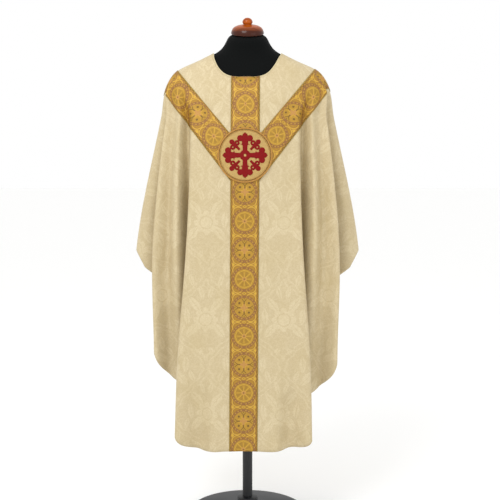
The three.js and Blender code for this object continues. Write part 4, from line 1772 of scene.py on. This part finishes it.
@dataclass
class Emblem:
    """The round emblem: couched ground, the twisted cord round it, and the red cross worked on it.

    cell and reach are the spacing and the half size of the grid that the red work is cut from. Its points
    outside the outline, or nearer inside than a share of a cell, slide onto it along the outline's slope.
    """

    wardrobe: Wardrobe
    plane: FrontPlane
    centre_z: float = 1178.0
    disc: float = 79.0
    disc_sides: int = 96
    rings: int = 13
    lift: float = 2.1
    thickness: float = 1.6
    edge_turn: float = 5.0
    edge_fall: float = 1.0
    cord_radius: float = 80.3
    cord_steps: int = 560
    strand: float = 1.25
    strands: int = 3
    twist: float = 12.0
    inner_cord: tuple[float, float] = (74.6, 0.7)
    inner_lift: float = 0.6
    cell: float = 1.1
    near: float = 0.15
    slides: int = 3
    slope_step: float = 0.05
    least_slope: float = 0.2
    reach: float = 70.0
    stitch_gap: float = 0.15
    stitch_wall: float = 0.5
    stitch_edge: float = 0.35
    stitch_height: float = 1.3
    stitch_slope: float = 4.5

    @property
    def centre_x(self) -> float:
        """Where the emblem hangs beside the centre plane."""
        return self.plane.drape.sway(self.centre_z, 1)

    def lay(self, obj: bpy.types.Object, lift: Callable[[np.ndarray, np.ndarray], np.ndarray]) -> None:
        """Lays a piece that was modelled flat, in millimetres, onto the cloth, and gives it its pattern map.

        Args:
            obj: the piece, with its face up along Z.
            lift: the height over the cloth from the distance to the centre and the modelled height.
        """
        flat = vertex_places(obj)
        place_points(obj, lambda p: MM * self.plane.lay(
            p[:, 0] + self.centre_x, p[:, 1] + self.centre_z, lift(np.hypot(p[:, 0], p[:, 1]), p[:, 2])))
        while obj.data.uv_layers:
            obj.data.uv_layers.remove(obj.data.uv_layers[0])
        map_pattern(obj.data, flat[corner_points(obj), :2] * MM)
        shade_smooth(obj.data)

    def ground(self) -> bpy.types.Object:
        """The disc of couched gold thread, a little rounded off at its edge.

        Returns:
            The disc.
        """
        bpy.ops.object.select_all(action="DESELECT")
        bpy.ops.mesh.primitive_circle_add(vertices=self.disc_sides, radius=self.disc, fill_type="NGON")
        obj = bpy.context.object
        obj.name = obj.data.name = "emblem_ground"
        open_edit(obj)
        for _ in range(self.rings - 1):
            bpy.ops.mesh.inset(thickness=self.disc / self.rings, use_even_offset=False)
        bpy.ops.mesh.poke()
        close_edit()
        bake_modifier(obj, "SOLIDIFY", thickness=self.thickness, offset=1.0)
        inside = self.disc - self.edge_turn
        self.lay(obj, lambda r, h: self.lift + np.where(
            h > 0.1, h - self.edge_fall * smooth((r - inside) / self.edge_turn), h))
        return self.wardrobe.dress(obj, Slot.MEDALLION, ["medallion"])

    def cord(self) -> bpy.types.Object:
        """The twisted cord round the emblem, of three strands, and a thin cord inside it.

        Returns:
            Both cords as one piece.
        """
        turn = np.linspace(0, TURN, self.cord_steps, endpoint=False)
        turns = round(TURN * self.cord_radius / self.twist)
        height = self.lift + 2 * self.strand
        lines = []
        for k in range(self.strands):
            twist = turn * turns + TURN * k / self.strands
            lines.append((self.cord_radius + self.strand * np.cos(twist),
                          height + self.strand * np.sin(twist), self.strand))
        inner, thin = self.inner_cord
        lines.append((inner, np.full(len(turn), self.lift + self.thickness + thin * self.inner_lift), thin))
        parts = [Cordage(thick).tube(f"strand_{k}", self.plane.lay(
            self.centre_x + radius * np.cos(turn), self.centre_z + radius * np.sin(turn), lift), (0, -1, 0))
            for k, (radius, lift, thick) in enumerate(lines)]
        settle(parts[0])
        for part in parts:
            part.select_set(True)
        bpy.ops.object.join()
        obj = bpy.context.object
        obj.name = obj.data.name = "emblem_cord"
        return self.wardrobe.dress(obj, Slot.CORD, ["medallion_cord"])

    @staticmethod
    def outline(x: np.ndarray, y: np.ndarray) -> np.ndarray:
        """The edge of the red work: a cross with three-lobed ends, and a curled sprig in each corner.

        Args:
            x: distance from the emblem's centre to the side, in millimetres.
            y: distance above the centre.

        Returns:
            Signed distance to the edge, below 0 inside it.
        """
        a, b = np.maximum(np.abs(x), np.abs(y)), np.minimum(np.abs(x), np.abs(y))
        stem = np.maximum(b - 6.6 - 4.4 * (a / 44) ** 3, a - 55)
        collar = (np.abs(a - 33) / 4.2 + b / 15 - 1) * 4
        lobes = np.hypot(a - 51, b - 14.5) - 9.2
        tip = np.minimum(np.hypot(a - 58, b) - 8.4, (np.abs(a - 60) / 9 + b / 8 - 1) * 5)
        boss = np.hypot(x, y) - 16.5
        c, d = (a + b) / math.sqrt(2), (a - b) / math.sqrt(2)
        leaf = np.hypot(c - 56, d) - 7.6
        curl = np.abs(np.hypot(c - 43, d - 8.8) - 5.2) - 3.0
        stalk = np.maximum(d - 3.4 - 0.05 * (c - 22), np.abs(c - 38) - 15)
        shape = np.minimum.reduce([stem, collar, lobes, tip, boss, leaf, curl, stalk])
        return np.maximum(shape, 4.0 - np.hypot(x, y))

    def to_outline(self, points: np.ndarray) -> np.ndarray:
        """Slides the points near the edge of the red work onto that edge.

        Args:
            points: the flat piece's points.

        Returns:
            The moved points.
        """
        moved = points.copy()
        e = self.slope_step
        for _ in range(self.slides):
            x, y = moved[:, 0], moved[:, 1]
            off = self.outline(x, y)
            slope = np.stack([self.outline(x + e, y) - self.outline(x - e, y),
                              self.outline(x, y + e) - self.outline(x, y - e)], -1) / (2 * e)
            steep = np.maximum((slope ** 2).sum(-1), self.least_slope)
            near = off > -self.cell * self.near
            step = np.clip(off / steep, -self.cell, self.cell)
            moved[near, :2] -= (slope * step[:, None])[near]
        return moved

    def cross(self) -> bpy.types.Object:
        """The red cross and its sprigs in padded satin stitch.

        Returns:
            The red work as one piece.
        """
        cuts = int(2 * self.reach / self.cell)
        bpy.ops.object.select_all(action="DESELECT")
        bpy.ops.mesh.primitive_grid_add(x_subdivisions=cuts, y_subdivisions=cuts, size=2 * self.reach)
        obj = bpy.context.object
        obj.name = obj.data.name = "emblem_cross"
        middles = np.array([p.center[:2] for p in obj.data.polygons])
        outside = self.outline(middles[:, 0], middles[:, 1]) > 0
        open_edit(obj)
        bpy.ops.mesh.select_mode(type="FACE")
        bpy.ops.mesh.select_all(action="DESELECT")
        close_edit()
        obj.data.polygons.foreach_set("select", outside)
        bpy.ops.object.mode_set(mode="EDIT")
        bpy.ops.mesh.delete(type="FACE")
        close_edit()
        place_points(obj, self.to_outline)
        bake_modifier(obj, "SOLIDIFY", thickness=self.stitch_wall, offset=1.0)
        flat = vertex_places(obj)
        inward = np.clip(-self.outline(flat[:, 0], flat[:, 1]) / self.stitch_slope, 0, 1)
        crown = self.stitch_edge + self.stitch_height * np.sqrt(1 - (1 - inward) ** 2)
        base = self.lift + self.thickness + self.stitch_gap
        self.lay(obj, lambda r, h: base + np.where(h > 0.1, crown, 0.0))
        return self.wardrobe.dress(obj, Slot.CROSS, ["medallion_cross"])

    def build(self) -> None:
        """Makes the emblem's pieces."""
        self.ground()
        self.cord()
        self.cross()


@dataclass
class DressForm:
    """The limbless form: its knitted cover, turned neck cap, pole and round base.

    cap and base are profiles of (radius, height), each from its own underside.
    """

    wardrobe: Wardrobe
    tilt: float = 14.0
    neck_top: float = 1551.3
    pole_radius: float = 16.0
    pole_chamfer: float = 0.6
    pole_ends: tuple[float, float] = (60.3, 814.7)
    cap: tuple[tuple[float, float], ...] = (
        (0, 0), (48.5, 0), (50.6, 1.2), (51.5, 4), (50.6, 8), (49.2, 12), (46.8, 16.8), (43, 21), (37, 24.6),
        (30, 27), (22, 28.6), (17, 29.5), (13.6, 30.2), (13, 31.6), (14.2, 33.4), (15.6, 36), (16, 38.5),
        (15, 41.8), (13.2, 45), (10.6, 47.6), (7.4, 49.6), (3.8, 50.7), (0, 51))
    base: tuple[tuple[float, float], ...] = (
        (0, 0), (187, 0), (189, 0.6), (190, 2.2), (190, 8), (189.2, 10.6), (187, 12.6), (183, 13.4),
        (120, 16.9), (64, 19.8), (50, 21.2), (40, 23.8), (35.6, 27.6), (34, 33), (34, 57), (33.2, 59.2),
        (31.4, 60), (0, 60))

    @staticmethod
    def turned(name: str, profile: Sequence[tuple[float, float]], steps: int) -> bpy.types.Object:
        """Spins a profile about the upright axis.

        Args:
            name: the piece's name.
            profile: its (radius, height) in millimetres, from the axis round to the axis.
            steps: how many sides it has.

        Returns:
            The new object.
        """
        mesh = bpy.data.meshes.new(name)
        mesh.from_pydata([(r * MM, 0, z * MM) for r, z in profile],
                         [(k, k + 1) for k in range(len(profile) - 1)], [])
        obj = new_object(name, mesh)
        open_edit(obj)
        bpy.ops.mesh.spin(steps=steps, angle=TURN, center=(0, 0, 0), axis=(0, 0, 1))
        bpy.ops.mesh.select_all(action="SELECT")
        bpy.ops.mesh.remove_doubles(threshold=MERGE_DISTANCE)
        bpy.ops.mesh.normals_make_consistent(inside=False)
        close_edit()
        order_faces(obj)
        bpy.ops.object.shade_smooth_by_angle(angle=SHARP_ANGLE)
        return obj

    def cover(self) -> bpy.types.Object:
        """The knitted cover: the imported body's shape, merged and smoothed.

        Returns:
            The cover.
        """
        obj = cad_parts["form_body"].copy()
        obj.data = obj.data.copy()
        obj.name = obj.data.name = "form_cover"
        bpy.context.collection.objects.link(obj)
        obj.parent = None
        open_edit(obj)
        bpy.ops.mesh.remove_doubles(threshold=MERGE_DISTANCE)
        bpy.ops.mesh.tris_convert_to_quads()
        close_edit()
        bake_modifier(obj, "SUBSURF", levels=2, render_levels=2)
        bpy.ops.object.shade_smooth_by_angle(angle=SHARP_ANGLE)
        return self.wardrobe.dress(obj, Slot.JERSEY, ["form_body"])

    def neck_cap(self) -> bpy.types.Object:
        """The turned cap, tilted forward as the neck's top is.

        Returns:
            The cap.
        """
        obj = self.turned("neck_cap", self.cap, 72)
        c, s = math.cos(math.radians(self.tilt)), math.sin(math.radians(self.tilt))
        turn = np.array([[1, 0, 0], [0, c, -s], [0, s, c]])
        place_points(obj, lambda p: p @ turn.T + (0, 0, self.neck_top * MM))
        return self.wardrobe.dress(obj, Slot.WOOD, ["form_neck_cap"])

    def stand(self) -> None:
        """The pole and the base that it stands on."""
        low, high = self.pole_ends
        r, chamfer = self.pole_radius, self.pole_chamfer
        pole = ((0, low), (r - chamfer, low), (r, low + chamfer),
                (r, high - chamfer), (r - chamfer, high), (0, high))
        for name, profile, steps, node in (("stand_pole", pole, 48, "form_pole"),
                                           ("stand_base", self.base, 96, "form_base")):
            self.wardrobe.dress(self.turned(name, profile, steps), Slot.STEEL, [node])

    def build(self) -> None:
        """Makes the form's pieces."""
        self.cover()
        self.neck_cap()
        self.stand()


@dataclass(frozen=True)
class Lamp:
    """A soft square light: its place and size in metres, and its power in watts."""

    name: str
    place: tuple[float, float, float]
    size: float
    power: float

    def build(self, target: np.ndarray) -> None:
        """Hangs the lamp.

        Args:
            target: the place that it faces.
        """
        data = bpy.data.lights.new(self.name, "AREA")
        data.energy, data.size = self.power, self.size
        obj = new_object(self.name, data)
        obj.location = self.place
        aim = target - np.array(self.place)
        flat = math.hypot(aim[0], aim[1])
        obj.rotation_euler = (math.atan2(flat, -aim[2]), 0, math.atan2(aim[0], -aim[1]) + math.pi)


@dataclass
class Studio:
    """Plain pale floor, soft light and the camera."""

    target: tuple[float, float, float] = (0.0, 0.0, 0.8728)
    distance: float = 3.3
    elevation: float = 6.5
    lens: float = 74.25
    sensor: float = 36.0
    shift: float = 0.005
    sky: float = 1.0
    floor_size: float = 40.0
    floor_z: float = -0.0005
    lamp_rise: float = 0.2
    lamps: tuple[Lamp, ...] = (
        Lamp("key", (-0.9, -1.75, 2.95), 1.2, 31), Lamp("fill", (2.2, -2.4, 1.9), 2.0, 9))

    def floor(self) -> None:
        """Lays the floor."""
        bpy.ops.object.select_all(action="DESELECT")
        bpy.ops.mesh.primitive_plane_add(size=self.floor_size, location=(0, 0, self.floor_z))
        floor = bpy.context.object
        floor.name = "studio_floor"
        floor.data.materials.append(StudioFloor().build())

    def light(self) -> None:
        """Sets the even light from all round, and hangs the lamps."""
        world = bpy.data.worlds.new("studio")
        world.use_nodes = True
        background = world.node_tree.nodes["Background"]
        background.inputs["Color"].default_value = (1, 1, 1, 1)
        background.inputs["Strength"].default_value = self.sky
        bpy.context.scene.world = world
        for lamp in self.lamps:
            lamp.build(np.array(self.target) + (0, 0, self.lamp_rise))

    def camera(self) -> None:
        """Places the camera in front, a little above the chest."""
        data = bpy.data.cameras.new("camera")
        data.lens, data.sensor_width, data.shift_x = self.lens, self.sensor, self.shift
        obj = new_object("camera", data)
        tilt = math.radians(self.elevation)
        x, y, z = self.target
        obj.location = (x, y - self.distance * math.cos(tilt), z + self.distance * math.sin(tilt))
        obj.rotation_euler = (math.radians(90) - tilt, 0, 0)
        bpy.context.scene.camera = obj

    def build(self) -> None:
        """Makes the floor, the lights and the camera."""
        self.floor()
        self.light()
        self.camera()
        bpy.context.scene.view_settings.view_transform = "Standard"


def main() -> None:
    """Builds the studio, the garment, the emblem and the form."""
    logging.basicConfig(level=logging.INFO, format="%(name)s: %(message)s")
    Studio().build()
    wardrobe = Wardrobe()
    drape = Drape()
    Chasuble(wardrobe, drape).build()
    Emblem(wardrobe, FrontPlane(drape)).build()
    DressForm(wardrobe).build()


if __name__ == "__main__":
    main()
